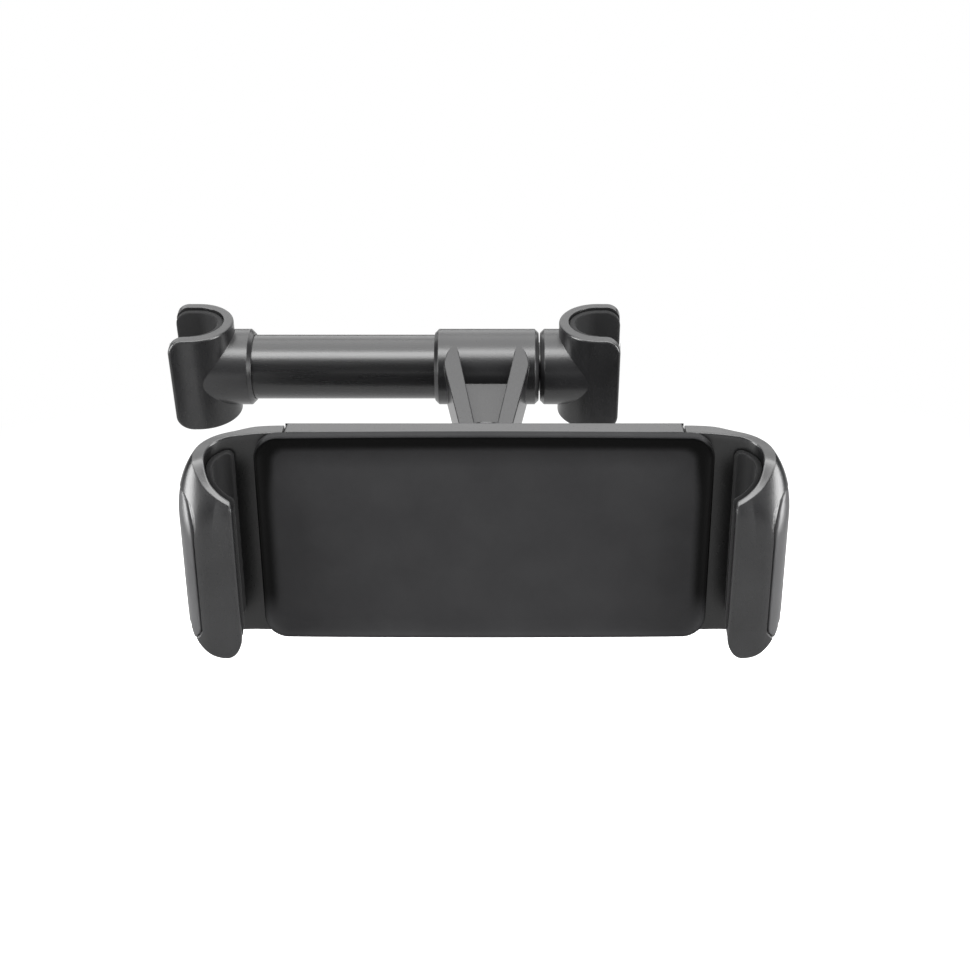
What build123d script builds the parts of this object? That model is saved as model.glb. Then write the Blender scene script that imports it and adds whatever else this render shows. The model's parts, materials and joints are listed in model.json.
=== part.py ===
"""Headrest tablet mount: a telescopic bar with two post claws carries a spring-jaw tablet holder on a ball.

Frame: the origin is the centre of the fixed claw's bore on the bar axis, +X runs along the bar to the
sliding claw, -Y is the side the tablet faces and +Z is up with the holder plate upright. Sizes in mm.
"""
from math import cos, hypot, radians, sin
import os

from build123d import *

# Posts and claws
POST_SPAN_MIN = 103.0       # centre distance of the posts with the bar shut
GLIDE_STAND = 1.55          # glide to the plug of the outer tube with the bar shut
POST_RADIUS = 6.0           # headrest post the claws close on
POST_LEAN = 9.5             # forward lean of the posts, degrees
CLAW_LINER = 1.7
CLAW_WALL = 2.4
CLAW_FLARE = 1.1            # the bare leg on the tablet side leans out at the mouth
CLAW_HEIGHT = 26.2
CLAW_LEG = 5.0              # front leg beyond the bore centre
CLAW_BACK_LEG = 6.0         # lined back leg beyond the bore centre
CLAW_TOP_ROUND = 3.5
CLAW_FOOT_ROUND = 4.4
COLLAR_RADIUS = 9.75
COLLAR_REACH = 14.8         # bore centre to the end face of the collar
COLLAR_SOCKET = 3.4         # depth the tube enters the collar
EDGE_CHAMFER = 1.0
EDGE_SOFT = 0.6             # rounding of moulded edges

# Bar
OUTER_TUBE_RADIUS = 8.25
OUTER_TUBE_WALL = 1.25
INNER_TUBE_RADIUS = 6.25
INNER_TUBE_WALL = 1.25
INNER_OVERLAP = 14.0        # inner tube left in the outer tube at full reach
SLEEVE_RADIUS = 9.75
SLEEVE_LENGTH = 26.6
SLEEVE_GAP = 0.4            # sleeve end to the shut claw's collar
BUSH_LENGTH = 9.0
BUSH_FLANGE = 0.8
PLUG_LENGTH = 8.0
GLIDE_HEAD = 6.0
GLIDE_SPIGOT = 8.0
RING_GROOVE = 2.0           # width of the glide's friction ring
RING_DEPTH = 1.0
SCREW_RADIUS = 1.45
SCREW_LENGTH = 9.0
SCREW_HEAD_RADIUS = 2.7
SCREW_HEAD = 1.5
SCREW_DRIVE = 1.7           # across the hexagon drive
SCREW_DRIVE_DEPTH = 0.9

# Neck and ball
BALL_DROP = 22.5            # ball centre below the bar axis
BALL_FORWARD = 32.5         # ball centre in front of the bar axis
BALL_RADIUS = 8.0
STEM_RADIUS = 3.2
STRUT_END = 26.0            # end of the ribbed strut, along the neck
RIB_TOP = 9.75              # rib faces above the neck axis
RIB_WEB = 4.7               # floor of the channel above the neck axis
STRUT_FOOT = -6.0           # underside of the strut below the neck axis
RIB_HALF = 10.55            # half width of the strut at its widest
RIB_WIDEST = 6.8            # where that is, along the neck
RIB_TIP = 8.7               # half width where the ribs leave the bar
RIB_TAPER = 0.23            # loss of half width per mm along the neck
CHANNEL_TAPER = 0.2         # the same in the channel
RIB_WIDTH = 4.4             # at the widest place
RIB_SOFT = 0.35             # rounding of the rib faces
CHANNEL_END = 2.5           # wall that shuts the channel at the ball end
STEM_ROOT = 5.6             # radius of the cone where the stem leaves the strut
LINER_INSET = 0.6           # liner ends below the claw's ends

# Holder: depths are behind the panel face (+) or towards the viewer (-), heights from the panel centre
PANEL_DEPTH = 19.0          # ball centre behind the panel face
HOUSING_HALF = 46.0
HOUSING_HEIGHT = 52.3
FRAME_DEPTH = 5.0
FRAME_FACE = 1.0
HOUSING_BACK = 10.4
HOUSING_WALL = 1.6
POCKET_WALL = 2.6           # cover above and below the pocket of the slides
COVER_TAPER = 34.0          # slope of the back cover's sides, degrees
CORNER_ROUND = 2.0
TONGUE = 2.0                # the housing's end runs on into the jaw's notch
TONGUE_DROP = 6.65          # tongue's top below the housing's top
TONGUE_RISE = 7.65          # tongue's lower end above the housing's foot
PAD_OVERHANG = 6.6          # pad beyond the housing's ends
PAD_RIM = 0.35              # pad beyond the housing above and below
PAD_THICK = 3.0
PAD_ROUND = 5.5
PAD_DISH = 1.9
PAD_SLOPE = 3.2             # width of the sloped band round the dish
PAD_LIFT = 0.35             # pad wings stand off the sliding jaw panels

# Jaws
JAW_TRAVEL = 40.0
JAW_REACH = 23.6            # outermost face of a shut jaw beyond the housing's end
JAW_INSET = 0.15            # jaw panels below the housing's top and above its foot
JAW_PANEL = 4.5
JAW_SEAM = 0.12
JAW_LIP = 13.8              # front of the lip before the panel face
LIP_REACH = 13.1            # lip's free edge inside the outermost face
JAW_WALL = 6.4              # hook's wall at its outermost bulge
JAW_CORNER = 15.95          # width of the plan's rounded back corner
LIP_TIP = 2.0               # thickness of the lip's free edge
LIP_FALL = 2.1              # slope of the lip's inner face, from its edge to mid lip
HOOK_TURN = 2.2             # mid lip inside the hook's wall
HOOK_ROUND = 5.5
JAW_BULGE = 7.2             # depth of the outermost face before the panel
JAW_TOP_FALL = 19.5         # drop of the top edge from panel to lip end
JAW_TOP_BEND = 6.0          # where the top edge begins to fall fast, before the panel
JAW_TOP_EASE = 4.2          # its drop there
JAW_EDGE = 3.3              # width of the bevel that rounds the outer top edge over
JAW_EDGE_FALL = 3.2         # fall of that bevel per mm
JAW_NOSE = 9.5              # width of the round outer foot corner
JAW_NOSE_RISE = 12.0        # its height
JAW_TOE = 3.8               # width of the lip's round inner foot corner
JAW_TOE_RISE = 6.0          # its height
JAW_BACK_BLOCK = 9.2        # depth of the block that takes the rods
BLOCK_STAND = 4.6           # rod block beyond the housing's end
BLOCK_DRAFT = 20.0
BLOCK_INSET = 8.6           # rod block inside the outermost face
BLOCK_DROP = 12.65          # rod block below the housing's top
BLOCK_RISE = 9.65           # rod block above the housing's foot
LINER_THICK = 1.7
LINER_DROP = 3.0            # liner top below the jaw's top edge
LINER_SETBACK = 0.7         # liner behind the lip's free edge
LINER_FOOT = 8.5            # liner's lower end above the jaw's foot
SIDE_PANEL_DEEP = 2.8       # flat the side panel sits on, inside the outermost face
SIDE_PANEL_DROP = 10.5      # panel's top below the jaw's top
SIDE_PANEL_RISE = 3.4       # panel's lower end above the jaw's foot
SIDE_PANEL_CROWN = 11.0     # height of the panel's long upper end
SIDE_PANEL_BASE = 4.5       # height of its round lower end
SIDE_PANEL_FRONT = 12.4
SIDE_PANEL_BACK = 1.5
SIDE_GROOVE = 0.45

# Rods, crossheads and springs
ROD_RADIUS = 1.2
ROD_DROP = 16.95            # upper rods below the housing's top
ROD_RISE = 13.85            # lower rods above the housing's foot
ROD_FRONT_ROW = 2.95
ROD_BACK_ROW = 6.75
ROD_GRIP = 10.0             # rod length held in the jaw
CROSS_THICK = 3.0
CROSS_WIDTH = 4.5
CROSS_STAND = 4.0           # crosshead to the far end wall with the jaw shut
CROSS_MARGIN = 2.2          # crosshead beyond the rods
SPRING_OUTER = 1.75
SPRING_INNER = 1.35

# Ball socket
SEAT_THICK = 1.4
CUP_ANGLE = 62.0            # front cup, from the front pole
RING_ANGLE = 96.0           # rear seat ring, from the front pole
LIP_ANGLE = 114.0           # end of the rear lip, from the front pole
BOSS_RADIUS = 11.6
SOCKET_WALL = 0.9
BOSS_PAST = 0.4             # boss ends behind the ball's equator
BOSS_SLOT = 1.2
NUT_RADIUS = 13.4
NUT_START = 12.0
NUT_PAST = 5.0              # rear face of the nut behind the ball centre
NUT_GRIPS = 14
NUT_GRIP_RADIUS = 0.9
COVER_SCREW_END = 8.0       # cover screws inside the housing's ends
COVER_SCREW_EDGE = 6.75     # cover screws inside the housing's long edges

# Clearances
FIT = 0.05                  # pieces fixed together
SLIDE = 0.08                # pieces that slide or turn on each other
PLAY = 0.3                  # open gap between moving faces

BAR_AXIS = Axis((0, 0, 0), (1, 0, 0))
RIGHT_X = POST_SPAN_MIN
SLEEVE_END = RIGHT_X - COLLAR_REACH - SLEEVE_GAP
SLEEVE_START = SLEEVE_END - SLEEVE_LENGTH
CENTRE_X = (SLEEVE_START + SLEEVE_END) / 2
OUTER_TUBE_BORE = OUTER_TUBE_RADIUS - OUTER_TUBE_WALL
INNER_TUBE_BORE = INNER_TUBE_RADIUS - INNER_TUBE_WALL
TUBE_START = COLLAR_REACH - COLLAR_SOCKET
TUBE_END = SLEEVE_END - BUSH_FLANGE - FIT
INNER_END = RIGHT_X - TUBE_START
INNER_START = TUBE_START + PLUG_LENGTH + GLIDE_STAND + GLIDE_HEAD
SLIDE_TRAVEL = TUBE_END - INNER_START - INNER_OVERLAP
SHELL_INNER = POST_RADIUS + CLAW_LINER
SHELL_OUTER = SHELL_INNER + CLAW_WALL
HEAD_SEAT = SHELL_INNER + SCREW_HEAD + FIT
PAD_HALF = HOUSING_HALF + PAD_OVERHANG
PAD_HEIGHT = HOUSING_HEIGHT + 2 * PAD_RIM
JAW_HALF = HOUSING_HALF + JAW_REACH
JAW_HEIGHT = HOUSING_HEIGHT - 2 * JAW_INSET
JAW_LIP_END = JAW_HALF - LIP_REACH
BLOCK_INNER = HOUSING_HALF + BLOCK_STAND
BLOCK_OUTER = JAW_HALF - BLOCK_INSET
LINER_EDGE = JAW_LIP_END + LINER_SETBACK
SIDE_PANEL_IN = JAW_HALF - SIDE_PANEL_DEEP
SIDE_PANEL_TOP = JAW_HEIGHT / 2 - SIDE_PANEL_DROP
SIDE_PANEL_FOOT = SIDE_PANEL_RISE - JAW_HEIGHT / 2
COVER_SCREW_X = HOUSING_HALF - COVER_SCREW_END
COVER_SCREW_Z = HOUSING_HEIGHT / 2 - COVER_SCREW_EDGE
TONGUE_TOP = HOUSING_HEIGHT / 2 - TONGUE_DROP
TONGUE_FOOT = TONGUE_RISE - HOUSING_HEIGHT / 2
BLOCK_TOP = HOUSING_HEIGHT / 2 - BLOCK_DROP
BLOCK_FOOT = BLOCK_RISE - HOUSING_HEIGHT / 2
ROD_TOP = HOUSING_HEIGHT / 2 - ROD_DROP
ROD_FOOT = ROD_RISE - HOUSING_HEIGHT / 2

parts = {}


def claw_plane(x):
    """Plane across a claw's bore, its normal along the leaning post."""
    return Plane(
        origin=(x, 0, 0),
        x_dir=(1, 0, 0),
        z_dir=(0, -sin(radians(POST_LEAN)), cos(radians(POST_LEAN))),
    )


def bar_plane(x):
    """Plane across the bar at x, its normal along the bar."""
    return Plane(origin=(x, 0, 0), x_dir=(0, 1, 0), z_dir=(1, 0, 0))


def keep(builder, label):
    """Labels a finished piece and writes it."""
    builder.part.label = label
    parts[label] = builder.part
    export_step(builder.part, f"parts/{label}.step")


os.makedirs("parts", exist_ok=True)


def leg_outline(out, back, front):
    """Plan of a claw between its two legs, from the bore centre to the mouth; the front leg flares."""
    with BuildLine() as outline:
        Line((0, front), (0, back))
        tip = (out * CLAW_LEG, front - CLAW_FLARE)
        Line((0, back), (out * CLAW_BACK_LEG, back))
        Line((out * CLAW_BACK_LEG, back), tip)
        Spline(tip, (0, front), tangents=[(-out * CLAW_LEG, CLAW_FLARE * 2), (-out, 0)])
    return outline


def make_claw(x, out, tube_radius):
    """One claw: a U along the post with a collar on its closed side. out is the side the mouth faces."""
    plane = claw_plane(x)
    half = CLAW_HEIGHT / 2
    with BuildPart() as claw:
        with BuildSketch(plane):
            Circle(SHELL_OUTER)
            with Locations((out * SHELL_OUTER, 0)):
                Rectangle(2 * SHELL_OUTER, 4 * SHELL_OUTER, mode=Mode.SUBTRACT)
            make_face(leg_outline(out, SHELL_OUTER, -SHELL_OUTER).edges())
        extrude(amount=half, both=True)
        mouth = claw.faces().sort_by(Axis.X)[-1 if out > 0 else 0]
        fillet(mouth.edges().sort_by(Axis.Z)[0], CLAW_FOOT_ROUND)
        mouth = claw.faces().sort_by(Axis.X)[-1 if out > 0 else 0]
        fillet(mouth.edges().sort_by(Axis.Z)[-1], CLAW_TOP_ROUND)
        fillet(claw.edges(), EDGE_SOFT)
        with BuildSketch(bar_plane(x)):
            Circle(COLLAR_RADIUS)
        extrude(amount=-out * COLLAR_REACH)
        rim = claw.edges().filter_by(GeomType.CIRCLE).group_by(Axis.X)[0 if out > 0 else -1]
        chamfer(rim, EDGE_CHAMFER)
        with BuildSketch(plane):
            Circle(SHELL_INNER)
            make_face(leg_outline(out, SHELL_INNER, -SHELL_INNER).edges())
        extrude(amount=CLAW_HEIGHT, both=True, mode=Mode.SUBTRACT)
        with BuildSketch(bar_plane(x - out * COLLAR_REACH)):
            Circle(tube_radius + FIT)
        extrude(amount=out * COLLAR_SOCKET, mode=Mode.SUBTRACT)
        with BuildSketch(bar_plane(x)):
            Circle(SCREW_RADIUS + FIT)
        extrude(amount=-out * COLLAR_REACH, mode=Mode.SUBTRACT)
        with BuildSketch(bar_plane(x)):
            Circle(SCREW_HEAD_RADIUS + FIT)
        extrude(amount=-out * HEAD_SEAT, mode=Mode.SUBTRACT)
    return claw


def make_claw_liner(x, out):
    """Rubber J inside a claw: the back leg and the half round, ending at the thick front leg."""
    outer = SHELL_INNER - FIT
    with BuildPart() as liner:
        with BuildSketch(claw_plane(x)):
            Circle(outer)
            with Locations((out * CLAW_BACK_LEG / 2, 0)):
                Rectangle(CLAW_BACK_LEG, 2 * outer)
            with Locations((out * (CLAW_BACK_LEG + SHELL_OUTER), 0)):
                Rectangle(2 * SHELL_OUTER, 4 * SHELL_OUTER, mode=Mode.SUBTRACT)
            Circle(POST_RADIUS, mode=Mode.SUBTRACT)
            with Locations((out * CLAW_BACK_LEG, (POST_RADIUS - 2 * SHELL_OUTER) / 2)):
                Rectangle(2 * CLAW_BACK_LEG, POST_RADIUS + 2 * SHELL_OUTER, mode=Mode.SUBTRACT)
        extrude(amount=CLAW_HEIGHT / 2 - LINER_INSET, both=True)
        ends = liner.edges().filter_by(Axis((0, 0, 0), claw_plane(x).y_dir))
        tip = ends.group_by(Axis.X)[-1 if out > 0 else 0]
        fillet(tip, CLAW_FOOT_ROUND)
    return liner


def make_claw_screw(x, out):
    """Screw under the liner that draws the claw on to the plug in its tube."""
    with BuildPart() as screw:
        with BuildSketch(bar_plane(x - out * (HEAD_SEAT - SCREW_HEAD - FIT))):
            Circle(SCREW_HEAD_RADIUS)
        extrude(amount=-out * SCREW_HEAD)
        with BuildSketch(bar_plane(x - out * (HEAD_SEAT - FIT))):
            Circle(SCREW_RADIUS)
        extrude(amount=-out * SCREW_LENGTH)
        with BuildSketch(bar_plane(x - out * (HEAD_SEAT - SCREW_HEAD - FIT))):
            RegularPolygon(SCREW_DRIVE, 6)
        extrude(amount=-out * SCREW_DRIVE_DEPTH, mode=Mode.SUBTRACT)
    return screw


def make_plug(start, end, radius):
    """Plug pressed into a tube end, with the hole the claw screw bites in."""
    with BuildPart() as plug:
        with BuildSketch(bar_plane(start)):
            Circle(radius)
            Circle(SCREW_RADIUS + FIT, mode=Mode.SUBTRACT)
        extrude(amount=end - start)
    return plug


left_claw = make_claw(0, -1, OUTER_TUBE_RADIUS)
keep(left_claw, "left_claw")
left_claw_liner = make_claw_liner(0, -1)
keep(left_claw_liner, "left_claw_liner")
left_claw_screw = make_claw_screw(0, -1)
keep(left_claw_screw, "left_claw_screw")
right_claw = make_claw(RIGHT_X, 1, INNER_TUBE_RADIUS)
keep(right_claw, "right_claw")
right_claw_liner = make_claw_liner(RIGHT_X, 1)
keep(right_claw_liner, "right_claw_liner")
right_claw_screw = make_claw_screw(RIGHT_X, 1)
keep(right_claw_screw, "right_claw_screw")
outer_plug = make_plug(TUBE_START + FIT, TUBE_START + PLUG_LENGTH, OUTER_TUBE_BORE - FIT)
keep(outer_plug, "outer_plug")
inner_plug = make_plug(INNER_END - FIT, INNER_END - PLUG_LENGTH, INNER_TUBE_BORE - FIT)
keep(inner_plug, "inner_plug")

with BuildPart() as outer_tube:
    with BuildSketch(bar_plane(TUBE_START + FIT)):
        Circle(OUTER_TUBE_RADIUS)
        Circle(OUTER_TUBE_BORE, mode=Mode.SUBTRACT)
    extrude(amount=TUBE_END - TUBE_START - FIT)
keep(outer_tube, "outer_tube")

with BuildPart() as inner_tube:
    with BuildSketch(bar_plane(INNER_START)):
        Circle(INNER_TUBE_RADIUS)
        Circle(INNER_TUBE_BORE, mode=Mode.SUBTRACT)
    extrude(amount=INNER_END - FIT - INNER_START)
keep(inner_tube, "inner_tube")

with BuildPart() as guide_bush:
    with BuildSketch(bar_plane(TUBE_END + FIT)):
        Circle(OUTER_TUBE_RADIUS)
    extrude(amount=BUSH_FLANGE)
    with BuildSketch(bar_plane(TUBE_END + FIT)):
        Circle(OUTER_TUBE_BORE - FIT)
    extrude(amount=-BUSH_LENGTH)
    with BuildSketch(bar_plane(TUBE_END + FIT + BUSH_FLANGE)):
        Circle(INNER_TUBE_RADIUS + SLIDE)
    extrude(amount=-BUSH_LENGTH - BUSH_FLANGE, mode=Mode.SUBTRACT)
keep(guide_bush, "guide_bush")

with BuildPart() as glide:
    with BuildSketch(bar_plane(INNER_START - FIT)):
        Circle(OUTER_TUBE_BORE - SLIDE)
    extrude(amount=-GLIDE_HEAD)
    with BuildSketch(bar_plane(INNER_START - FIT)):
        Circle(INNER_TUBE_BORE - FIT)
    extrude(amount=GLIDE_SPIGOT)
    with BuildSketch(bar_plane(INNER_START - FIT - GLIDE_HEAD / 2)):
        Circle(OUTER_TUBE_BORE)
        Circle(OUTER_TUBE_BORE - SLIDE - RING_DEPTH, mode=Mode.SUBTRACT)
    extrude(amount=RING_GROOVE / 2, both=True, mode=Mode.SUBTRACT)
keep(glide, "glide")

with BuildPart() as friction_ring:
    with BuildSketch(bar_plane(INNER_START - FIT - GLIDE_HEAD / 2)):
        Circle(OUTER_TUBE_BORE - SLIDE / 2)
        Circle(OUTER_TUBE_BORE - SLIDE - RING_DEPTH + FIT, mode=Mode.SUBTRACT)
    extrude(amount=RING_GROOVE / 2 - FIT, both=True)
keep(friction_ring, "friction_ring")

# Neck: sleeve on the tube, ribbed strut down to the ball
NECK_LENGTH = hypot(BALL_DROP, BALL_FORWARD)
NECK_SIN = BALL_DROP / NECK_LENGTH
NECK_COS = BALL_FORWARD / NECK_LENGTH
BALL_CENTRE = (CENTRE_X, -BALL_FORWARD, -BALL_DROP)


def strut_plane(height):
    """Plane along the neck, height above its axis; local -Y runs down the neck."""
    return Plane(
        origin=(CENTRE_X, -NECK_SIN * height, NECK_COS * height),
        x_dir=(1, 0, 0),
        z_dir=(0, -NECK_SIN, NECK_COS),
    )


def neck_plane(reach):
    """Plane across the neck, reach down from the bar axis, its normal towards the ball."""
    return Plane(
        origin=(CENTRE_X, -NECK_COS * reach, -NECK_SIN * reach),
        x_dir=(1, 0, 0),
        z_dir=(0, -NECK_COS, -NECK_SIN),
    )


def taper(half_start, half_end, start, end):
    """Corner points of a strip along the neck that narrows from one half width to another."""
    return [(-half_start, -start), (half_start, -start), (half_end, -end), (-half_end, -end)]


with BuildPart() as neck:
    with BuildSketch(strut_plane(STRUT_FOOT)):
        with BuildLine():
            half_end = RIB_HALF - RIB_TAPER * (STRUT_END - RIB_WIDEST)
            tip = (RIB_TIP, 0)
            widest = (RIB_HALF, -RIB_WIDEST)
            Spline(tip, widest, tangents=[(RIB_HALF - RIB_TIP, -RIB_WIDEST / 2), (-RIB_TAPER, -1)])
            Polyline(widest, (half_end, -STRUT_END), (0, -STRUT_END), (0, 0), tip)
        make_face()
        mirror(about=Plane.YZ)
    extrude(amount=RIB_TOP - STRUT_FOOT)
    with BuildSketch(strut_plane(RIB_WEB)):
        Polygon(
            *taper(
                RIB_HALF - RIB_WIDTH + CHANNEL_TAPER * (SLEEVE_RADIUS + RIB_WIDEST),
                RIB_HALF - RIB_WIDTH - CHANNEL_TAPER * (STRUT_END - CHANNEL_END - RIB_WIDEST),
                -SLEEVE_RADIUS,
                STRUT_END - CHANNEL_END,
            ),
            align=None,
        )
    extrude(amount=RIB_TOP, mode=Mode.SUBTRACT)
    ribs = neck.edges().group_by(Axis((0, 0, 0), strut_plane(0).z_dir))[-1]
    fillet(ribs.filter_by(lambda edge: edge.length > STRUT_END / 2), RIB_SOFT)
    with BuildSketch(neck_plane(STRUT_END - STEM_ROOT)):
        Circle(STEM_ROOT)
    with BuildSketch(neck_plane(STRUT_END + STEM_ROOT / 2)):
        Circle(STEM_RADIUS)
    loft()
    with BuildSketch(neck_plane(STRUT_END)):
        Circle(STEM_RADIUS)
    extrude(amount=NECK_LENGTH - STRUT_END)
    with Locations(BALL_CENTRE):
        Sphere(BALL_RADIUS)
    with BuildSketch(bar_plane(SLEEVE_START)):
        Circle(SLEEVE_RADIUS)
    extrude(amount=SLEEVE_LENGTH)
    rims = neck.edges().filter_by(GeomType.CIRCLE)
    chamfer(rims.group_by(Axis.X)[0], EDGE_CHAMFER)
    rims = neck.edges().filter_by(GeomType.CIRCLE)
    chamfer(rims.group_by(Axis.X)[-1], EDGE_CHAMFER)
    with BuildSketch(bar_plane(SLEEVE_START)):
        Circle(OUTER_TUBE_RADIUS + FIT)
    extrude(amount=SLEEVE_LENGTH, mode=Mode.SUBTRACT)
keep(neck, "neck")

# Holder pieces
PANEL_Y = -BALL_FORWARD - PANEL_DEPTH
PANEL_Z = -BALL_DROP
SEAT_OUTER = BALL_RADIUS + SEAT_THICK
SOCKET_RADIUS = SEAT_OUTER + SLIDE
JAW_INNER = HOUSING_HALF + JAW_SEAM
SOCKET_AXIS = Axis(BALL_CENTRE, (0, 1, 0))


def face_plane(depth):
    """Plane parallel to the panel at a depth behind its face; local Z is towards the viewer, Y up."""
    return Plane(origin=(CENTRE_X, PANEL_Y + depth, PANEL_Z), x_dir=(1, 0, 0), z_dir=(0, -1, 0))


def plan_plane(height):
    """Level plane at a height of the holder; local Y is towards the viewer."""
    return Plane(origin=(CENTRE_X, PANEL_Y, PANEL_Z + height), x_dir=(1, 0, 0), z_dir=(0, 0, -1))


def side_plane(x):
    """Plane across the holder at x from its centre; local X is towards the viewer, Y up, Z to -X."""
    return Plane(origin=(CENTRE_X + x, PANEL_Y, PANEL_Z), x_dir=(0, -1, 0), z_dir=(-1, 0, 0))


def socket_sector(start, end, inner, outer):
    """Draws the section of a spherical shell between two angles from the socket's front pole."""
    low = radians(start)
    high = radians(end)
    with BuildLine() as outline:
        CenterArc((0, 0), inner, start, end - start)
        Line((outer * cos(low), outer * sin(low)), (inner * cos(low), inner * sin(low)))
        CenterArc((0, 0), outer, start, end - start)
        Line((outer * cos(high), outer * sin(high)), (inner * cos(high), inner * sin(high)))
    make_face(outline.edges())


SOCKET_PLANE = Plane(origin=BALL_CENTRE, x_dir=(0, -1, 0), z_dir=(1, 0, 0))

with BuildPart() as ball_cup:
    with BuildSketch(SOCKET_PLANE):
        socket_sector(0, CUP_ANGLE, BALL_RADIUS + SLIDE, SEAT_OUTER)
    revolve(axis=SOCKET_AXIS)
keep(ball_cup, "ball_cup")

with BuildPart() as seat_ring:
    with BuildSketch(SOCKET_PLANE):
        socket_sector(RING_ANGLE, LIP_ANGLE, BALL_RADIUS + SLIDE, SEAT_OUTER)
    revolve(axis=SOCKET_AXIS)
keep(seat_ring, "seat_ring")

with BuildPart() as lock_nut:
    with BuildSketch(face_plane(NUT_START)):
        Circle(NUT_RADIUS)
        with PolarLocations(NUT_RADIUS, NUT_GRIPS):
            Circle(NUT_GRIP_RADIUS, mode=Mode.SUBTRACT)
    extrude(amount=NUT_START - PANEL_DEPTH - NUT_PAST)
    with BuildSketch(face_plane(NUT_START)):
        Circle(BOSS_RADIUS + SLIDE)
    extrude(amount=NUT_START - PANEL_DEPTH - BOSS_PAST - PLAY, mode=Mode.SUBTRACT)
    with BuildSketch(face_plane(NUT_START)):
        Circle(SOCKET_RADIUS * sin(radians(LIP_ANGLE)))
    extrude(amount=-2 * NUT_RADIUS, mode=Mode.SUBTRACT)
    with Locations(BALL_CENTRE):
        Sphere(SOCKET_RADIUS, mode=Mode.SUBTRACT)
keep(lock_nut, "lock_nut")

with BuildPart() as front_frame:
    with BuildSketch(face_plane(0)):
        Rectangle(2 * HOUSING_HALF, HOUSING_HEIGHT)
        fillet(vertices(), CORNER_ROUND / 2)
    extrude(amount=-FRAME_DEPTH)
    with BuildSketch(face_plane(FRAME_FACE)):
        with Locations((0, (TONGUE_TOP + TONGUE_FOOT) / 2)):
            Rectangle(2 * (HOUSING_HALF + TONGUE), TONGUE_TOP - TONGUE_FOOT)
    extrude(amount=FRAME_FACE - FRAME_DEPTH)
    with BuildSketch(face_plane(FRAME_FACE)):
        Rectangle(2 * (HOUSING_HALF - HOUSING_WALL), HOUSING_HEIGHT - 2 * HOUSING_WALL)
    extrude(amount=-FRAME_DEPTH, mode=Mode.SUBTRACT)
    with BuildSketch(side_plane(-HOUSING_HALF + HOUSING_WALL)):
        with Locations((-ROD_FRONT_ROW, ROD_TOP), (-ROD_FRONT_ROW, ROD_FOOT)):
            Circle(ROD_RADIUS + SLIDE)
    extrude(amount=2 * (HOUSING_WALL + TONGUE), mode=Mode.SUBTRACT)
    with BuildSketch(face_plane(FRAME_FACE)):
        with GridLocations(2 * COVER_SCREW_X, 2 * COVER_SCREW_Z, 2, 2):
            Circle(2 * SCREW_RADIUS)
    extrude(amount=FRAME_FACE - FRAME_DEPTH)
    with BuildSketch(face_plane(FRAME_FACE)):
        with GridLocations(2 * COVER_SCREW_X, 2 * COVER_SCREW_Z, 2, 2):
            Circle(SCREW_RADIUS + FIT)
    extrude(amount=-FRAME_DEPTH, mode=Mode.SUBTRACT)
keep(front_frame, "front_frame")

with BuildPart() as back_cover:
    with BuildSketch(face_plane(FRAME_DEPTH + FIT)):
        Rectangle(2 * HOUSING_HALF, HOUSING_HEIGHT)
    extrude(amount=FRAME_DEPTH + FIT - HOUSING_BACK, taper=COVER_TAPER)
    with BuildSketch(face_plane(FRAME_DEPTH + FIT)):
        with Locations((0, (TONGUE_TOP + TONGUE_FOOT) / 2)):
            Rectangle(2 * (HOUSING_HALF + TONGUE), TONGUE_TOP - TONGUE_FOOT)
    extrude(amount=FRAME_DEPTH + FIT - HOUSING_BACK)
    with BuildSketch(face_plane(HOUSING_BACK - FIT)):
        Circle(BOSS_RADIUS)
    extrude(amount=HOUSING_BACK - PANEL_DEPTH - BOSS_PAST)
    with BuildSketch(face_plane(FRAME_DEPTH + FIT)):
        with Locations((0, (TONGUE_TOP + TONGUE_FOOT) / 2)):
            Rectangle(2 * (HOUSING_HALF - HOUSING_WALL), TONGUE_TOP - TONGUE_FOOT - 2 * POCKET_WALL)
    extrude(amount=FRAME_DEPTH + FIT + HOUSING_WALL - HOUSING_BACK, mode=Mode.SUBTRACT)
    with Locations(BALL_CENTRE):
        Sphere(SOCKET_RADIUS + SOCKET_WALL)
    with BuildSketch(face_plane(PANEL_DEPTH + BOSS_PAST)):
        Circle(2 * BOSS_RADIUS)
    extrude(amount=-2 * BOSS_RADIUS, mode=Mode.SUBTRACT)
    with Locations(BALL_CENTRE):
        Sphere(SOCKET_RADIUS, mode=Mode.SUBTRACT)
    with BuildSketch(face_plane(NUT_START + BOSS_SLOT)):
        Rectangle(4 * BOSS_RADIUS, BOSS_SLOT)
        Rectangle(BOSS_SLOT, 4 * BOSS_RADIUS)
    extrude(amount=-NUT_RADIUS, mode=Mode.SUBTRACT)
    with BuildSketch(side_plane(HOUSING_HALF - HOUSING_WALL)):
        with Locations((-ROD_BACK_ROW, ROD_TOP), (-ROD_BACK_ROW, ROD_FOOT)):
            Circle(ROD_RADIUS + SLIDE)
    extrude(amount=-2 * (HOUSING_WALL + TONGUE), mode=Mode.SUBTRACT)
    with BuildSketch(face_plane(FRAME_DEPTH)):
        with GridLocations(2 * COVER_SCREW_X, 2 * COVER_SCREW_Z, 2, 2):
            Circle(SCREW_RADIUS + FIT)
    extrude(amount=-HOUSING_BACK, mode=Mode.SUBTRACT)
    with BuildSketch(face_plane(HOUSING_BACK)):
        with GridLocations(2 * COVER_SCREW_X, 2 * COVER_SCREW_Z, 2, 2):
            Circle(SCREW_HEAD_RADIUS + FIT)
    extrude(amount=SCREW_HEAD + FIT, mode=Mode.SUBTRACT)
keep(back_cover, "back_cover")

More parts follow.
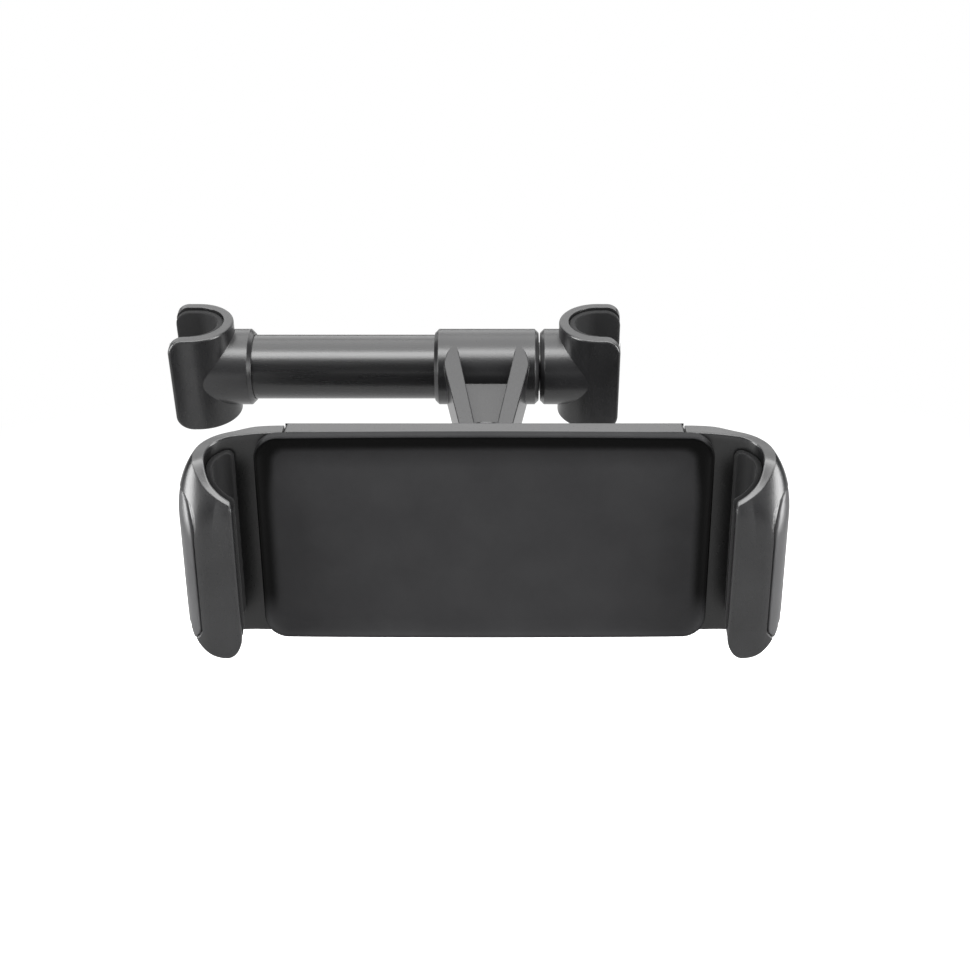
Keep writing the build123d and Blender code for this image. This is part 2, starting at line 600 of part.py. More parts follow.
with BuildPart() as cover_screws:
    with BuildSketch(face_plane(HOUSING_BACK - FIT)):
        with GridLocations(2 * COVER_SCREW_X, 2 * COVER_SCREW_Z, 2, 2):
            Circle(SCREW_HEAD_RADIUS)
    extrude(amount=SCREW_HEAD - FIT)
    with BuildSketch(face_plane(HOUSING_BACK - SCREW_HEAD)):
        with GridLocations(2 * COVER_SCREW_X, 2 * COVER_SCREW_Z, 2, 2):
            Circle(SCREW_RADIUS)
    extrude(amount=HOUSING_BACK - SCREW_HEAD - FRAME_FACE - PLAY)
    with BuildSketch(face_plane(HOUSING_BACK - FIT)):
        with GridLocations(2 * COVER_SCREW_X, 2 * COVER_SCREW_Z, 2, 2):
            RegularPolygon(SCREW_DRIVE, 6)
    extrude(amount=SCREW_DRIVE_DEPTH, mode=Mode.SUBTRACT)
keep(cover_screws, "cover_screws")

with BuildPart() as front_pad:
    with BuildSketch(face_plane(-FIT)):
        RectangleRounded(2 * PAD_HALF, PAD_HEIGHT, PAD_ROUND)
    extrude(amount=PAD_THICK - FIT)
    with BuildSketch(face_plane(-PAD_THICK + PAD_DISH)):
        RectangleRounded(
            2 * (PAD_HALF - PAD_SLOPE), PAD_HEIGHT - 2 * PAD_SLOPE, PAD_ROUND - PAD_SLOPE / 2
        )
    with BuildSketch(face_plane(-PAD_THICK)):
        RectangleRounded(2 * PAD_HALF - FIT, PAD_HEIGHT - FIT, PAD_ROUND)
    loft(mode=Mode.SUBTRACT)
    with BuildSketch(face_plane(0)):
        with GridLocations(2 * (HOUSING_HALF + PAD_HALF), 0, 2, 1):
            Rectangle(2 * PAD_HALF, 2 * PAD_HEIGHT)
    extrude(amount=PAD_LIFT, mode=Mode.SUBTRACT)
keep(front_pad, "front_pad")


HOOK_WALL = JAW_HALF - JAW_WALL
HOOK_TANGENTS = [(1, -0.35), (0, -1)]


def hook_points(inset):
    """Plan of the hook's hollow drawn in by inset: lip end, mid lip, wall and the start of the panel."""
    return (
        (JAW_LIP_END - 0.33 * inset, JAW_LIP - LIP_TIP - 0.944 * inset),
        (HOOK_WALL - HOOK_TURN - 0.62 * inset, JAW_LIP - LIP_TIP - LIP_FALL - 0.78 * inset),
        (HOOK_WALL - inset, HOOK_ROUND),
        (HOOK_WALL - HOOK_ROUND, inset),
    )


def jaw_outline(back):
    """Plan of a jaw on the +X side from its inner edge at depth back round the hook to the lip."""
    lip_x = JAW_HALF - JAW_LIP + JAW_BULGE
    corner_x = JAW_HALF - JAW_CORNER
    with BuildLine() as outline:
        Line((JAW_INNER, -back), (corner_x, -back))
        EllipticalCenterArc(
            (corner_x, JAW_BULGE), JAW_HALF - corner_x, JAW_BULGE + back, start_angle=270, arc_size=90
        )
        EllipticalCenterArc(
            (lip_x, JAW_BULGE), JAW_HALF - lip_x, JAW_LIP - JAW_BULGE, start_angle=0, arc_size=90
        )
        Line((lip_x, JAW_LIP), (JAW_LIP_END, JAW_LIP))
        Line((JAW_LIP_END, JAW_LIP), (JAW_LIP_END, JAW_LIP - LIP_TIP))
        hook = hook_points(0)
        Spline(*hook[:3], tangents=HOOK_TANGENTS)
        RadiusArc(hook[2], hook[3], HOOK_ROUND)
        Line(hook[3], (JAW_INNER, 0))
        Line((JAW_INNER, 0), (JAW_INNER, -back))
    return outline


def top_edge(drop):
    """Side view of all that lies above a jaw's top edge, which falls from the panel to the lip."""
    top = JAW_HEIGHT / 2 - drop
    with BuildLine() as outline:
        Spline(
            (0, top),
            (JAW_TOP_BEND, top - JAW_TOP_EASE),
            (JAW_LIP + LIP_TIP, top - JAW_TOP_FALL),
            tangents=[(1, -0.3), (0.5, -0.9)],
        )
        Line((JAW_LIP + LIP_TIP, top - JAW_TOP_FALL), (JAW_LIP + LIP_TIP, JAW_HEIGHT))
        Line((JAW_LIP + LIP_TIP, JAW_HEIGHT), (0, JAW_HEIGHT))
        Line((0, JAW_HEIGHT), (0, top))
    return outline


def corner_cut(x, side, wide, tall):
    """Draws what a rounded foot corner at x leaves out; side is the way the corner points."""
    foot = -JAW_HEIGHT / 2
    with Locations((x - side * (wide - 1) / 2, foot + (tall - 1) / 2)):
        Rectangle(wide + 1, tall + 1)
    with Locations((x - side * wide, foot + tall)):
        Ellipse(wide, tall, mode=Mode.SUBTRACT)


with BuildPart() as jaw_blank:
    with BuildSketch(plan_plane(-JAW_HEIGHT / 2)):
        make_face(jaw_outline(JAW_PANEL).edges())
    extrude(amount=-JAW_HEIGHT)
    with BuildSketch(face_plane(JAW_BACK_BLOCK)):
        with Locations(((BLOCK_INNER + BLOCK_OUTER) / 2, (BLOCK_TOP + BLOCK_FOOT) / 2)):
            Rectangle(BLOCK_OUTER - BLOCK_INNER, BLOCK_TOP - BLOCK_FOOT)
            fillet(vertices(), CORNER_ROUND)
    extrude(amount=JAW_BACK_BLOCK - JAW_PANEL / 2, taper=-BLOCK_DRAFT)
    with BuildSketch(side_plane(JAW_HALF + 1)):
        make_face(top_edge(0).edges())
    extrude(amount=JAW_HALF, mode=Mode.SUBTRACT)
    with BuildSketch(side_plane(JAW_HALF - JAW_EDGE)):
        make_face(top_edge(0).edges())
    extrude(amount=2 * JAW_HEIGHT, dir=(1, 0, -JAW_EDGE_FALL), mode=Mode.SUBTRACT)
    with BuildSketch(face_plane(-2 * JAW_LIP)):
        corner_cut(JAW_HALF, 1, JAW_NOSE, JAW_NOSE_RISE)
    extrude(amount=-4 * JAW_LIP, mode=Mode.SUBTRACT)
    with BuildSketch(face_plane(-2 * JAW_LIP)):
        corner_cut(JAW_LIP_END, -1, JAW_TOE, JAW_TOE_RISE)
    extrude(amount=-2 * JAW_LIP + HOOK_ROUND, mode=Mode.SUBTRACT)
    with BuildSketch(face_plane(-FIT)):
        with Locations((JAW_INNER, (TONGUE_TOP + TONGUE_FOOT) / 2)):
            Rectangle(2 * (TONGUE + PLAY), TONGUE_TOP - TONGUE_FOOT + 2 * PLAY)
    extrude(amount=-JAW_PANEL - 1, mode=Mode.SUBTRACT)


def side_oval(grow):
    """Draws the side panel's outline across a jaw's outer wall."""
    middle = (SIDE_PANEL_FRONT + SIDE_PANEL_BACK) / 2
    half = (SIDE_PANEL_FRONT - SIDE_PANEL_BACK) / 2 + grow
    high = SIDE_PANEL_TOP - SIDE_PANEL_CROWN
    low = SIDE_PANEL_FOOT + SIDE_PANEL_BASE
    with Locations((middle, (high + low) / 2)):
        Rectangle(2 * half, high - low)
    with Locations((middle, high)):
        Ellipse(half, SIDE_PANEL_CROWN + grow)
    with Locations((middle, low)):
        Ellipse(half, SIDE_PANEL_BASE + grow)


with BuildPart() as panel_blank:
    add(jaw_blank.part)
    with BuildSketch(side_plane(SIDE_PANEL_IN)):
        side_oval(0)
    extrude(amount=-2 * JAW_WALL, mode=Mode.INTERSECT)

with BuildPart() as jaw_shell:
    add(jaw_blank.part)
    with BuildSketch(side_plane(SIDE_PANEL_IN - FIT)):
        side_oval(SIDE_GROOVE)
    extrude(amount=-2 * JAW_WALL, mode=Mode.SUBTRACT)

with BuildPart() as liner_blank:
    with BuildSketch(plan_plane(-JAW_HEIGHT / 2 + LINER_FOOT)):
        with BuildLine():
            outer = hook_points(FIT)
            inner = hook_points(LINER_THICK)
            Spline(*outer[:3], tangents=HOOK_TANGENTS)
            RadiusArc(outer[2], outer[3], HOOK_ROUND - FIT)
            Line(outer[3], (LINER_EDGE, FIT))
            Line((LINER_EDGE, FIT), (LINER_EDGE, LINER_THICK))
            Line((LINER_EDGE, LINER_THICK), inner[3])
            RadiusArc(inner[3], inner[2], LINER_THICK - HOOK_ROUND)
            Spline(*inner[2::-1], tangents=[(0, 1), (-1, 0.35)])
            Line(inner[0], outer[0])
        make_face()
    extrude(amount=LINER_FOOT - JAW_HEIGHT)
    with BuildSketch(side_plane(JAW_HALF)):
        make_face(top_edge(LINER_DROP).edges())
    extrude(amount=JAW_HALF, mode=Mode.SUBTRACT)

CROSS_FAR = HOUSING_HALF - HOUSING_WALL - CROSS_STAND
CROSS_NEAR = CROSS_FAR - CROSS_WIDTH
SPRING_SEAT = HOUSING_HALF - HOUSING_WALL
MIRROR_PLANE = bar_plane(CENTRE_X)


def make_rod(side, row, height):
    """One rod of a jaw, from its grip in the jaw to its crosshead at the far end of the housing."""
    with BuildPart() as rod:
        with BuildSketch(side_plane(side * (BLOCK_INNER + ROD_GRIP - FIT))):
            with Locations((-row, height)):
                Circle(ROD_RADIUS)
        extrude(amount=side * (BLOCK_INNER + ROD_GRIP - FIT + CROSS_FAR))
    return rod


def make_spring(side, row, height):
    """Envelope of the closing spring round a rod, from the end wall to the crosshead."""
    with BuildPart() as spring:
        with BuildSketch(side_plane(side * (SPRING_SEAT - FIT))):
            with Locations((-row, height)):
                Circle(SPRING_OUTER)
                Circle(SPRING_INNER, mode=Mode.SUBTRACT)
        extrude(amount=side * (SPRING_SEAT + CROSS_NEAR - 2 * FIT))
    return spring


for side, row, name in ((-1, ROD_FRONT_ROW, "left"), (1, ROD_BACK_ROW, "right")):
    with BuildPart() as jaw:
        add(jaw_shell.part if side > 0 else mirror(jaw_shell.part, about=MIRROR_PLANE, mode=Mode.PRIVATE))
        with BuildSketch(side_plane(side * HOUSING_HALF)):
            with Locations((-row, ROD_TOP), (-row, ROD_FOOT)):
                Circle(ROD_RADIUS + FIT)
        extrude(amount=side * (HOUSING_HALF - BLOCK_INNER - ROD_GRIP), mode=Mode.SUBTRACT)
    keep(jaw, f"{name}_jaw")
    with BuildPart() as jaw_liner:
        add(liner_blank.part if side > 0 else mirror(liner_blank.part, about=MIRROR_PLANE, mode=Mode.PRIVATE))
    keep(jaw_liner, f"{name}_jaw_liner")
    with BuildPart() as side_panel:
        add(panel_blank.part if side > 0 else mirror(panel_blank.part, about=MIRROR_PLANE, mode=Mode.PRIVATE))
    keep(side_panel, f"{name}_side_panel")
    keep(make_rod(side, row, ROD_TOP), f"{name}_upper_rod")
    keep(make_rod(side, row, ROD_FOOT), f"{name}_lower_rod")
    keep(make_spring(side, row, ROD_TOP), f"{name}_upper_spring")
    keep(make_spring(side, row, ROD_FOOT), f"{name}_lower_spring")
    with BuildPart() as crosshead:
        with BuildSketch(side_plane(-side * CROSS_NEAR)):
            with Locations((-row, (ROD_TOP + ROD_FOOT) / 2)):
                RectangleRounded(CROSS_THICK, ROD_TOP - ROD_FOOT + 2 * (CROSS_MARGIN + ROD_RADIUS), CROSS_THICK / 3)
            with Locations((-row, ROD_TOP), (-row, ROD_FOOT)):
                Circle(ROD_RADIUS + FIT, mode=Mode.SUBTRACT)
        extrude(amount=side * CROSS_WIDTH)
    keep(crosshead, f"{name}_crosshead")
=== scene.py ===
"""Looks of a headrest tablet mount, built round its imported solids.

The bar, the neck and the holder's shell keep their CAD solids. The jaws, their liners and side panels,
the claw liners, the front pad and the closing springs are surfaces worked out here, each in the place of
its CAD solid. Lengths are in millimetres and turned into metres as a mesh is made. In the holder, across
runs along X from its centre, ahead from its panel's face to the viewer and up from the panel's centre.
"""

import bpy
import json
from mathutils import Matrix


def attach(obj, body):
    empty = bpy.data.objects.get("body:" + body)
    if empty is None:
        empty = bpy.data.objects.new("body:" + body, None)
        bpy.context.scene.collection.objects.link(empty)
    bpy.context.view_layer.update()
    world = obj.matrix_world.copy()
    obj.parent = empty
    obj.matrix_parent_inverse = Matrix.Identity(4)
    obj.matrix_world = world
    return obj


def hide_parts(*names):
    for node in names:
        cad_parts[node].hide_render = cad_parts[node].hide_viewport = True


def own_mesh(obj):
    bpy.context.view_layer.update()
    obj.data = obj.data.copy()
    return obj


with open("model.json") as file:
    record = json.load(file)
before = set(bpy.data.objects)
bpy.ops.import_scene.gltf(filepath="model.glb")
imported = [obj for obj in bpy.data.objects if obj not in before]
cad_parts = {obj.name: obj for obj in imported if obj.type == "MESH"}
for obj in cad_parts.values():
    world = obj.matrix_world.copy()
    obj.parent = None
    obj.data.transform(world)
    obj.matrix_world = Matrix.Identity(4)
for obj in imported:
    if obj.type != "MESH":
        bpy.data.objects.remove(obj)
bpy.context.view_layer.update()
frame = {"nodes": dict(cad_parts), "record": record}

import json
import logging
import math
from collections.abc import Callable
from dataclasses import dataclass, field
from enum import Enum

import bmesh
import bpy
import numpy as np
from mathutils import Vector

MM = 0.001
TINY = 1e-6  # keeps a divisor off zero
MERGE = 1e-7  # corners closer than this, in metres, become one
FINE = 400  # samples of a curve that is then picked from
SHARP = math.radians(38)  # an edge of a new piece that turns by more stays sharp
CAD_SHARP = math.radians(30)  # the same for a CAD solid
TURN = 2 * np.pi
QUARTER = np.pi / 2
WHITE = (1.0, 1.0, 1.0, 1.0)
LOG = logging.getLogger("tablet_mount")

Array = np.ndarray
Material, Piece, Socket = bpy.types.Material, bpy.types.Object, bpy.types.NodeSocket
Pair = tuple[float, float]
Triple = tuple[float, float, float]
Height = Callable[[Array, Array], Array]


class Side(Enum):
    """Which of the pair of jaws or claws a piece belongs to; the value is its sign along X."""

    LEFT = -1
    RIGHT = 1

    @property
    def word(self) -> str:
        """The side as it stands in node and body names."""
        return self.name.lower()


class Rod(Enum):
    """Which of a jaw's two rods a spring sits on; the value is the rod's height in the holder."""

    UPPER = 9.2
    LOWER = -12.3


class Cap(Enum):
    """How the ends of a carried profile are shut."""

    OPEN = 0
    FAN = 1


@dataclass(frozen=True)
class HolderFrame:
    """Where the holder stands in the row frame."""

    centre_x: float = 74.5
    panel_y: float = -51.5
    panel_z: float = -22.5

    def place(self, across: Array, ahead: Array, up: Array) -> Array:
        """Turns holder coordinates into row coordinates.

        Args:
            across: distance from the holder's centre.
            ahead: distance before the panel's face.
            up: height from the panel's centre.

        Returns:
            The points in metres, with the three coordinates on the last axis.
        """
        across, ahead, up = np.broadcast_arrays(across, ahead, up)
        points = np.stack((self.centre_x + across, self.panel_y - ahead, self.panel_z + up), axis=-1)
        return points * MM


HOLDER = HolderFrame()


def smooth(value: Array) -> Array:
    """Eases 0 to 1: three times the square less twice the cube, held outside."""
    held = np.clip(value, 0.0, 1.0)
    return held * held * (3.0 - 2.0 * held)


def ease(value: Array, run: Pair) -> Array:
    """Eases 0 to 1 over a run given as its start and its length."""
    return smooth((value - run[0]) / run[1])


def round_off(past: Array) -> Array:
    """Depth of a unit quarter circle at a distance past its start: 1 less the root of 1 - past squared."""
    return 1.0 - np.sqrt(1.0 - past**2)


def path_length(path: Array) -> Array:
    """Length of a path up to each of its points: the running sum of the steps between them."""
    return np.concatenate(([0.0], np.cumsum(np.linalg.norm(np.diff(path, axis=0), axis=1))))


def hermite(knots: list[Pair], slopes: list[Pair], count: int) -> Array:
    """Curve through knots: each stretch is the cubic with the given end points and end directions.

    Args:
        knots: points as (x, y) pairs.
        slopes: direction at each knot, its length the pull of the curve.
        count: samples on each stretch.

    Returns:
        The sampled points, one row each, with no point given twice.
    """
    step = np.linspace(0.0, 1.0, count)[:, None]
    start = 2 * step**3 - 3 * step**2 + 1
    leave = step**3 - 2 * step**2 + step
    end = -2 * step**3 + 3 * step**2
    arrive = step**3 - step**2
    knots, slopes = np.asarray(knots, float), np.asarray(slopes, float)
    runs = [
        start * knots[i] + leave * slopes[i] + end * knots[i + 1] + arrive * slopes[i + 1]
        for i in range(len(knots) - 1)
    ]
    return np.concatenate([runs[0]] + [run[1:] for run in runs[1:]])


def even(path: Array, count: int) -> Array:
    """Samples a path anew at even steps of its length.

    Args:
        path: points along the path, one row each.
        count: how many points to give back.

    Returns:
        The new points, one row each.
    """
    along = path_length(path)
    want = np.linspace(0.0, along[-1], count)
    return np.stack([np.interp(want, along, path[:, axis]) for axis in range(path.shape[1])], axis=-1)


def slowing(path: Array, count: int) -> Array:
    """Samples a path as even does, at steps that shorten to its end by the sine of a quarter turn."""
    pick = np.round(np.sin(np.linspace(0.0, QUARTER, count)) * (FINE - 1)).astype(int)
    return even(path, FINE)[pick]


def ring_faces(rows: int, columns: int) -> Array:
    """Quads between closed rings, one ring a row: each joins a point to the next one and to both below."""
    here = np.repeat(np.arange(rows - 1) * columns, columns)
    below = here + columns
    column = np.tile(np.arange(columns), rows - 1)
    right = (column + 1) % columns
    return np.stack((here + column, here + right, below + right, below + column), axis=-1)


def add_object(name: str, data: bpy.types.ID) -> Piece:
    """Makes an object from its data and puts it in the scene."""
    piece = bpy.data.objects.new(name, data)
    bpy.context.scene.collection.objects.link(piece)
    return piece


def surface(name: str, points: Array, ends: Cap = Cap.OPEN, painted_shade: Array | float = 0.0) -> Piece:
    """Makes a smooth piece from a grid of points whose columns close on themselves.

    Args:
        name: the piece's name.
        points: rows by columns by 3, in metres; each row is a closed ring.
        ends: whether the first and last rings are shut by a fan to their middle.
        painted_shade: share of the dark tone painted in where shade falls, at each point, 0 to 1, in a shape
            that fits the grid.

    Returns:
        The new object, its place in its mesh and its faces turned outwards.
    """
    rows, columns = points.shape[:2]
    corners = points.reshape(-1, 3)
    faces = ring_faces(rows, columns).tolist()
    shade_and_gloss = np.broadcast_to(painted_shade, (rows, columns)).ravel()
    if ends is Cap.FAN:
        first = len(corners)
        corners = np.concatenate((corners, points[[0, -1]].mean(axis=1)))
        shade_and_gloss = np.concatenate((shade_and_gloss, shade_and_gloss[[0, -1]]))
        ring = np.arange(columns)
        after = np.roll(ring, -1)
        base = first - columns
        low = np.stack((np.full(columns, first), after, ring), axis=-1)
        high = np.stack((np.full(columns, first + 1), base + ring, base + after), axis=-1)
        faces += low.tolist() + high.tolist()
    mesh = bpy.data.meshes.new(name)
    mesh.from_pydata(corners.tolist(), [], faces)
    # Stores the share of painted shade at each point, for the material's dark tone.
    mesh.attributes.new("painted_shade", "FLOAT", "POINT").data.foreach_set("value", shade_and_gloss.astype(np.float32))
    shell = bmesh.new()
    shell.from_mesh(mesh)
    bmesh.ops.remove_doubles(shell, verts=shell.verts, dist=MERGE)
    bmesh.ops.recalc_face_normals(shell, faces=shell.faces)
    shell.to_mesh(mesh)
    shell.free()
    mesh.shade_smooth()
    mesh.set_sharp_from_angle(angle=SHARP)
    LOG.info("%s: %d faces", name, len(mesh.polygons))
    return add_object(name, mesh)


@dataclass(frozen=True)
class Nodes:
    """Short hand on one node tree; input names have underscores for blanks."""

    tree: bpy.types.NodeTree

    def add(self, kind: str, **sockets: object) -> bpy.types.Node:
        """Adds a node and sets its inputs by name.

        Args:
            kind: Blender's name of the node type, without its first word.
            **sockets: values of its inputs, as in feed.

        Returns:
            The new node.
        """
        node = self.tree.nodes.new("ShaderNode" + kind)
        self.feed(node, **sockets)
        return node

    def feed(self, node: bpy.types.Node, **sockets: object) -> None:
        """Sets a node's inputs by name.

        Args:
            node: the node.
            **sockets: for each input a constant or an output to link.
        """
        for key, value in sockets.items():
            socket = node.inputs[key.replace("_", " ")]
            if isinstance(value, Socket):
                self.tree.links.new(value, socket)
            else:
                socket.default_value = value

    def join(self, node: bpy.types.Node, *outputs: Socket) -> None:
        """Links outputs to a node's last inputs, which have no names of their own."""
        for output, socket in zip(outputs, node.inputs[-len(outputs) :]):
            self.tree.links.new(output, socket)

    def ramp(self, factor: Socket, stops: list[tuple[float, Triple]]) -> Socket:
        """Colour ramp over a factor.

        Args:
            factor: the output that drives the ramp.
            stops: positions with their tones.

        Returns:
            The ramp's colour output.
        """
        node = self.add("ValToRGB", Fac=factor)
        elements = node.color_ramp.elements
        while len(elements) < len(stops):
            elements.new(0.5)
        for element, (place, tone) in zip(elements, stops):
            element.position = place
            element.color = (*tone, 1.0)
        return node.outputs["Color"]


def new_material(name: str) -> tuple[Material, Nodes, bpy.types.Node]:
    """Makes a material and gives it with the hand on its nodes and with its main shader."""
    material = bpy.data.materials.new(name)
    material.use_nodes = True
    return material, Nodes(material.node_tree), material.node_tree.nodes["Principled BSDF"]


def grey(level: float, blue: float = 0.0) -> Triple:
    """A grey with a trace more blue, if any."""
    return (level, level, level + blue)


@dataclass(frozen=True)
class Finish:
    """A surface finish: dark base with fine grain, soft edges and uneven gloss.

    The tone runs from dark to light in wide clouds and falls to the painted shade tone, a dark colour that
    stands in for shade, where a piece's painted_shade attribute is 1. Grain is a scale.
    """

    name: str
    dark: Triple
    light: Triple
    rough: Pair
    grain: float = 2600.0
    depth: float = 0.02
    edge: float = 0.25
    metallic: float = 0.0
    stretch: Triple = (1.0, 1.0, 1.0)
    sheen: float = 0.0
    coat: float = 0.0
    specular: float = 0.5
    # The dark colour painted in where shade falls; a piece's attribute sets how much of it shows.
    painted_shade_tone: Triple = grey(0.0015)

    def build(self) -> Material:
        """Makes the node material: grain as a bump on rounded edge normals, tone and gloss from noise,
        painted shade from an attribute.
        """
        material, nodes, shader = new_material(self.name)
        where = nodes.add("TexCoord").outputs["Object"]
        run = nodes.add("Mapping", Vector=where, Scale=self.stretch).outputs["Vector"]
        grain = nodes.add("TexNoise", Vector=run, Scale=self.grain, Detail=4.0, Roughness=0.6)
        cloud = nodes.add("TexNoise", Vector=run, Scale=90.0, Detail=3.0)
        edge = nodes.add("Bevel", Radius=self.edge * MM)
        bump = nodes.add(
            "Bump", Height=grain.outputs["Fac"], Strength=0.6,
            Distance=self.depth * MM, Normal=edge.outputs["Normal"],
        )
        plain = nodes.ramp(cloud.outputs["Fac"], [(0.3, self.dark), (0.7, self.light)])
        painted_shade = nodes.add("Attribute")
        painted_shade.attribute_name = "painted_shade"
        painted_shade_tone = (*self.painted_shade_tone, 1.0)
        # Painted shade: the attribute mixes the dark tone in over hollows, liners and the pad's band.
        tone = nodes.add("MixRGB", Fac=painted_shade.outputs["Fac"], Color1=plain, Color2=painted_shade_tone)
        least, most = self.rough
        shade_and_gloss = nodes.add("MapRange", Value=grain.outputs["Fac"], To_Min=least, To_Max=most)
        nodes.feed(
            shader,
            Base_Color=tone.outputs["Color"],
            Roughness=shade_and_gloss.outputs["Result"],
            Normal=bump.outputs["Normal"],
            Metallic=self.metallic,
            Specular_IOR_Level=self.specular,
            Sheen_Weight=self.sheen,
            Coat_Weight=self.coat,
        )
        return material


@dataclass
class Palette:
    """The finishes of the mount and the materials made from them."""

    moulding: Finish = Finish("black_moulding", grey(0.005, 0.0003), grey(0.0075, 0.0004), (0.24, 0.34))
    panel: Finish = Finish("side_panel", grey(0.02, 0.001), grey(0.027, 0.001), (0.3, 0.42), grain=1900.0)
    tube: Finish = Finish(
        "coated_tube", grey(0.003, 0.0002), grey(0.0042, 0.0002), (0.24, 0.32),
        grain=1400.0, depth=0.0015, stretch=(0.06, 1.0, 1.0), coat=0.1,
    )
    rubber: Finish = Finish(
        "soft_rubber", grey(0.0095, 0.0005), grey(0.0115, 0.0005), (0.5, 0.66),
        grain=3400.0, depth=0.03, sheen=0.04, specular=0.1,
    )
    # The pad's painted shade tone is the darkest of all.
    pad: Finish = Finish(
        "pad_rubber", grey(0.0115, 0.0005), grey(0.0135, 0.0005), (0.5, 0.62),
        grain=3400.0, depth=0.02, specular=0.05, painted_shade_tone=grey(0.0008),
    )
    bearing: Finish = Finish("bearing_plastic", grey(0.05), grey(0.07, -0.002), (0.35, 0.5), edge=0.15)
    rod: Finish = Finish(
        "bright_rod", grey(0.52, 0.01), grey(0.62, 0.01), (0.16, 0.28),
        grain=1800.0, depth=0.004, edge=0.1, metallic=1.0, stretch=(0.04, 1.0, 1.0),
    )
    wire: Finish = Finish(
        "spring_wire", grey(0.4, 0.01), grey(0.5), (0.25, 0.4), depth=0.004, edge=0.05, metallic=1.0
    )
    screw: Finish = Finish(
        "screw_steel", grey(0.09, 0.005), grey(0.14, 0.005), (0.3, 0.45), depth=0.006, edge=0.12, metallic=1.0
    )
    made: dict[str, Material] = field(default_factory=dict)

    def get(self, finish: Finish) -> Material:
        """Gives the material of a finish, made on first use."""
        if finish.name not in self.made:
            self.made[finish.name] = finish.build()
        return self.made[finish.name]

    def dress(self, piece: Piece, finish: Finish) -> Piece:
        """Puts a finish on a piece in place of what it wore and gives the piece back."""
        piece.data.materials.clear()
        piece.data.materials.append(self.get(finish))
        return piece


@dataclass(frozen=True)
class Section:
    """A rounded four-sided section carried between two matching paths.

    Each ring starts at the inner foot corner, climbs the inner face, crosses the top, comes down the outer
    face and returns along the foot. Corners are quarter ellipses; the outer top corner may begin with a
    lead angle, so that it leaves the top with a slope. The counts are points on each stretch of a ring, and
    cross is the share of the way over the thickness at which the top's height is read.
    """

    corner: int = 8
    shoulder: int = 8
    inner_side: int = 40
    outer_side: int = 40
    level: int = 8
    lead: float = 0.0
    cross: float = 1.0
    widest: tuple = (0.45, 0.2, 0.78, 0.45)

    def carry(self, outer: Array, inner: Array, top: Height, foot: Height, radii: Array) -> Array:
        """Works out the rings.

        A point lies between the two paths by its share of the thickness, and between the foot and the top
        heights found at that place, less the rounding of the nearest corner.

        Args:
            outer: path of the outer face, one (across, ahead) row each.
            inner: path of the inner face, matched row by row.
            top: function of (across, ahead) giving the top height.
            foot: function of (across, ahead) giving the foot height.
            radii: rows by 4 corners by 2: width and height of the rounding, in the ring's order.

        Returns:
            Rows by ring points by 3: across, ahead and up.
        """
        thick = np.linalg.norm(outer - inner, axis=1)[:, None]
        wide = np.minimum(radii[:, :, 0], np.array(self.widest)[None, :] * thick)
        tall = radii[:, :, 1] * np.minimum(wide / np.maximum(radii[:, :, 0], TINY), 1.0)
        bend = np.linspace(0.0, QUARTER, self.corner)[None, :]
        arch = np.linspace(self.lead, QUARTER, self.shoulder)[None, :]
        out_arch = (np.sin(arch) - math.sin(self.lead)) / (1.0 - math.sin(self.lead))
        down_arch = (math.cos(self.lead) - np.cos(arch)) / math.cos(self.lead)
        none = np.zeros_like(thick)

        def hold(value: Array, count: int) -> Array:
            """Repeats a column over a run of points."""
            return np.repeat(value, count, axis=1)

        def run(first: Array, last: Array, count: int) -> Array:
            """Even steps from one column to another, without the ends."""
            step = np.linspace(0.0, 1.0, count + 2)[None, 1:-1]
            return first * (1 - step) + last * step

        over = self.corner + self.level + self.shoulder
        under = self.corner + self.level
        w0, w1, w2, w3 = (wide[:, i : i + 1] for i in range(4))
        t0, t1, t2, t3 = (tall[:, i : i + 1] for i in range(4))
        share = (
            w0 - w0 * np.sin(bend), hold(none, self.inner_side),
            w1 - w1 * np.cos(bend), run(w1, thick - w2, self.level), thick - w2 + w2 * out_arch,
            hold(thick, self.outer_side),
            thick - w3 + w3 * np.cos(bend), run(thick - w3, w0, self.level),
        )
        climb = (
            hold(none, self.corner), run(none, none + 1, self.inner_side), hold(none + 1, over),
            run(none + 1, none, self.outer_side), hold(none, under),
        )
        rise = (
            t0 - t0 * np.cos(bend), hold(t0, self.inner_side), hold(none, over),
            hold(t3, self.outer_side), t3 - t3 * np.sin(bend), hold(none, self.level),
        )
        drop = (
            hold(none, self.corner), hold(t1, self.inner_side), t1 - t1 * np.sin(bend),
            hold(none, self.level), t2 * down_arch, hold(t2, self.outer_side), hold(none, under),
        )
        share, climb, rise, drop = (np.concatenate(runs, axis=1) for runs in (share, climb, rise, drop))
        share = share / np.maximum(thick, TINY)
        plan = inner[:, None, :] + share[:, :, None] * (outer - inner)[:, None, :]
        level = inner[:, None, :] + self.cross * (plan - inner[:, None, :])
        low = foot(plan[..., 0], plan[..., 1]) + rise
        high = top(level[..., 0], level[..., 1]) - drop
        return np.concatenate((plan, (low * (1 - climb) + high * climb)[..., None]), axis=-1)


def round_ends(outer: Array, inner: Array, start: float, end: float) -> tuple:
    """Draws two matching paths together at their ends, so that the edge there is half round.

    Args:
        outer: path of the outer face.
        inner: path of the inner face.
        start: length over which the first end is rounded; 0 leaves it square.
        end: the same for the last end.

    Returns:
        The two paths with their half distance scaled by the height of a half circle.
    """
    middle = (outer + inner) / 2
    apart = (outer - inner) / 2
    along = path_length(middle)
    scale = np.ones(len(along))
    for length, gone in ((start, along), (end, along[-1] - along)):
        if length:
            scale *= np.sqrt(np.clip(1 - np.clip(1 - gone / length, 0, 1) ** 2, 1e-4, 1))
    return middle + apart * scale[:, None], middle - apart * scale[:, None]


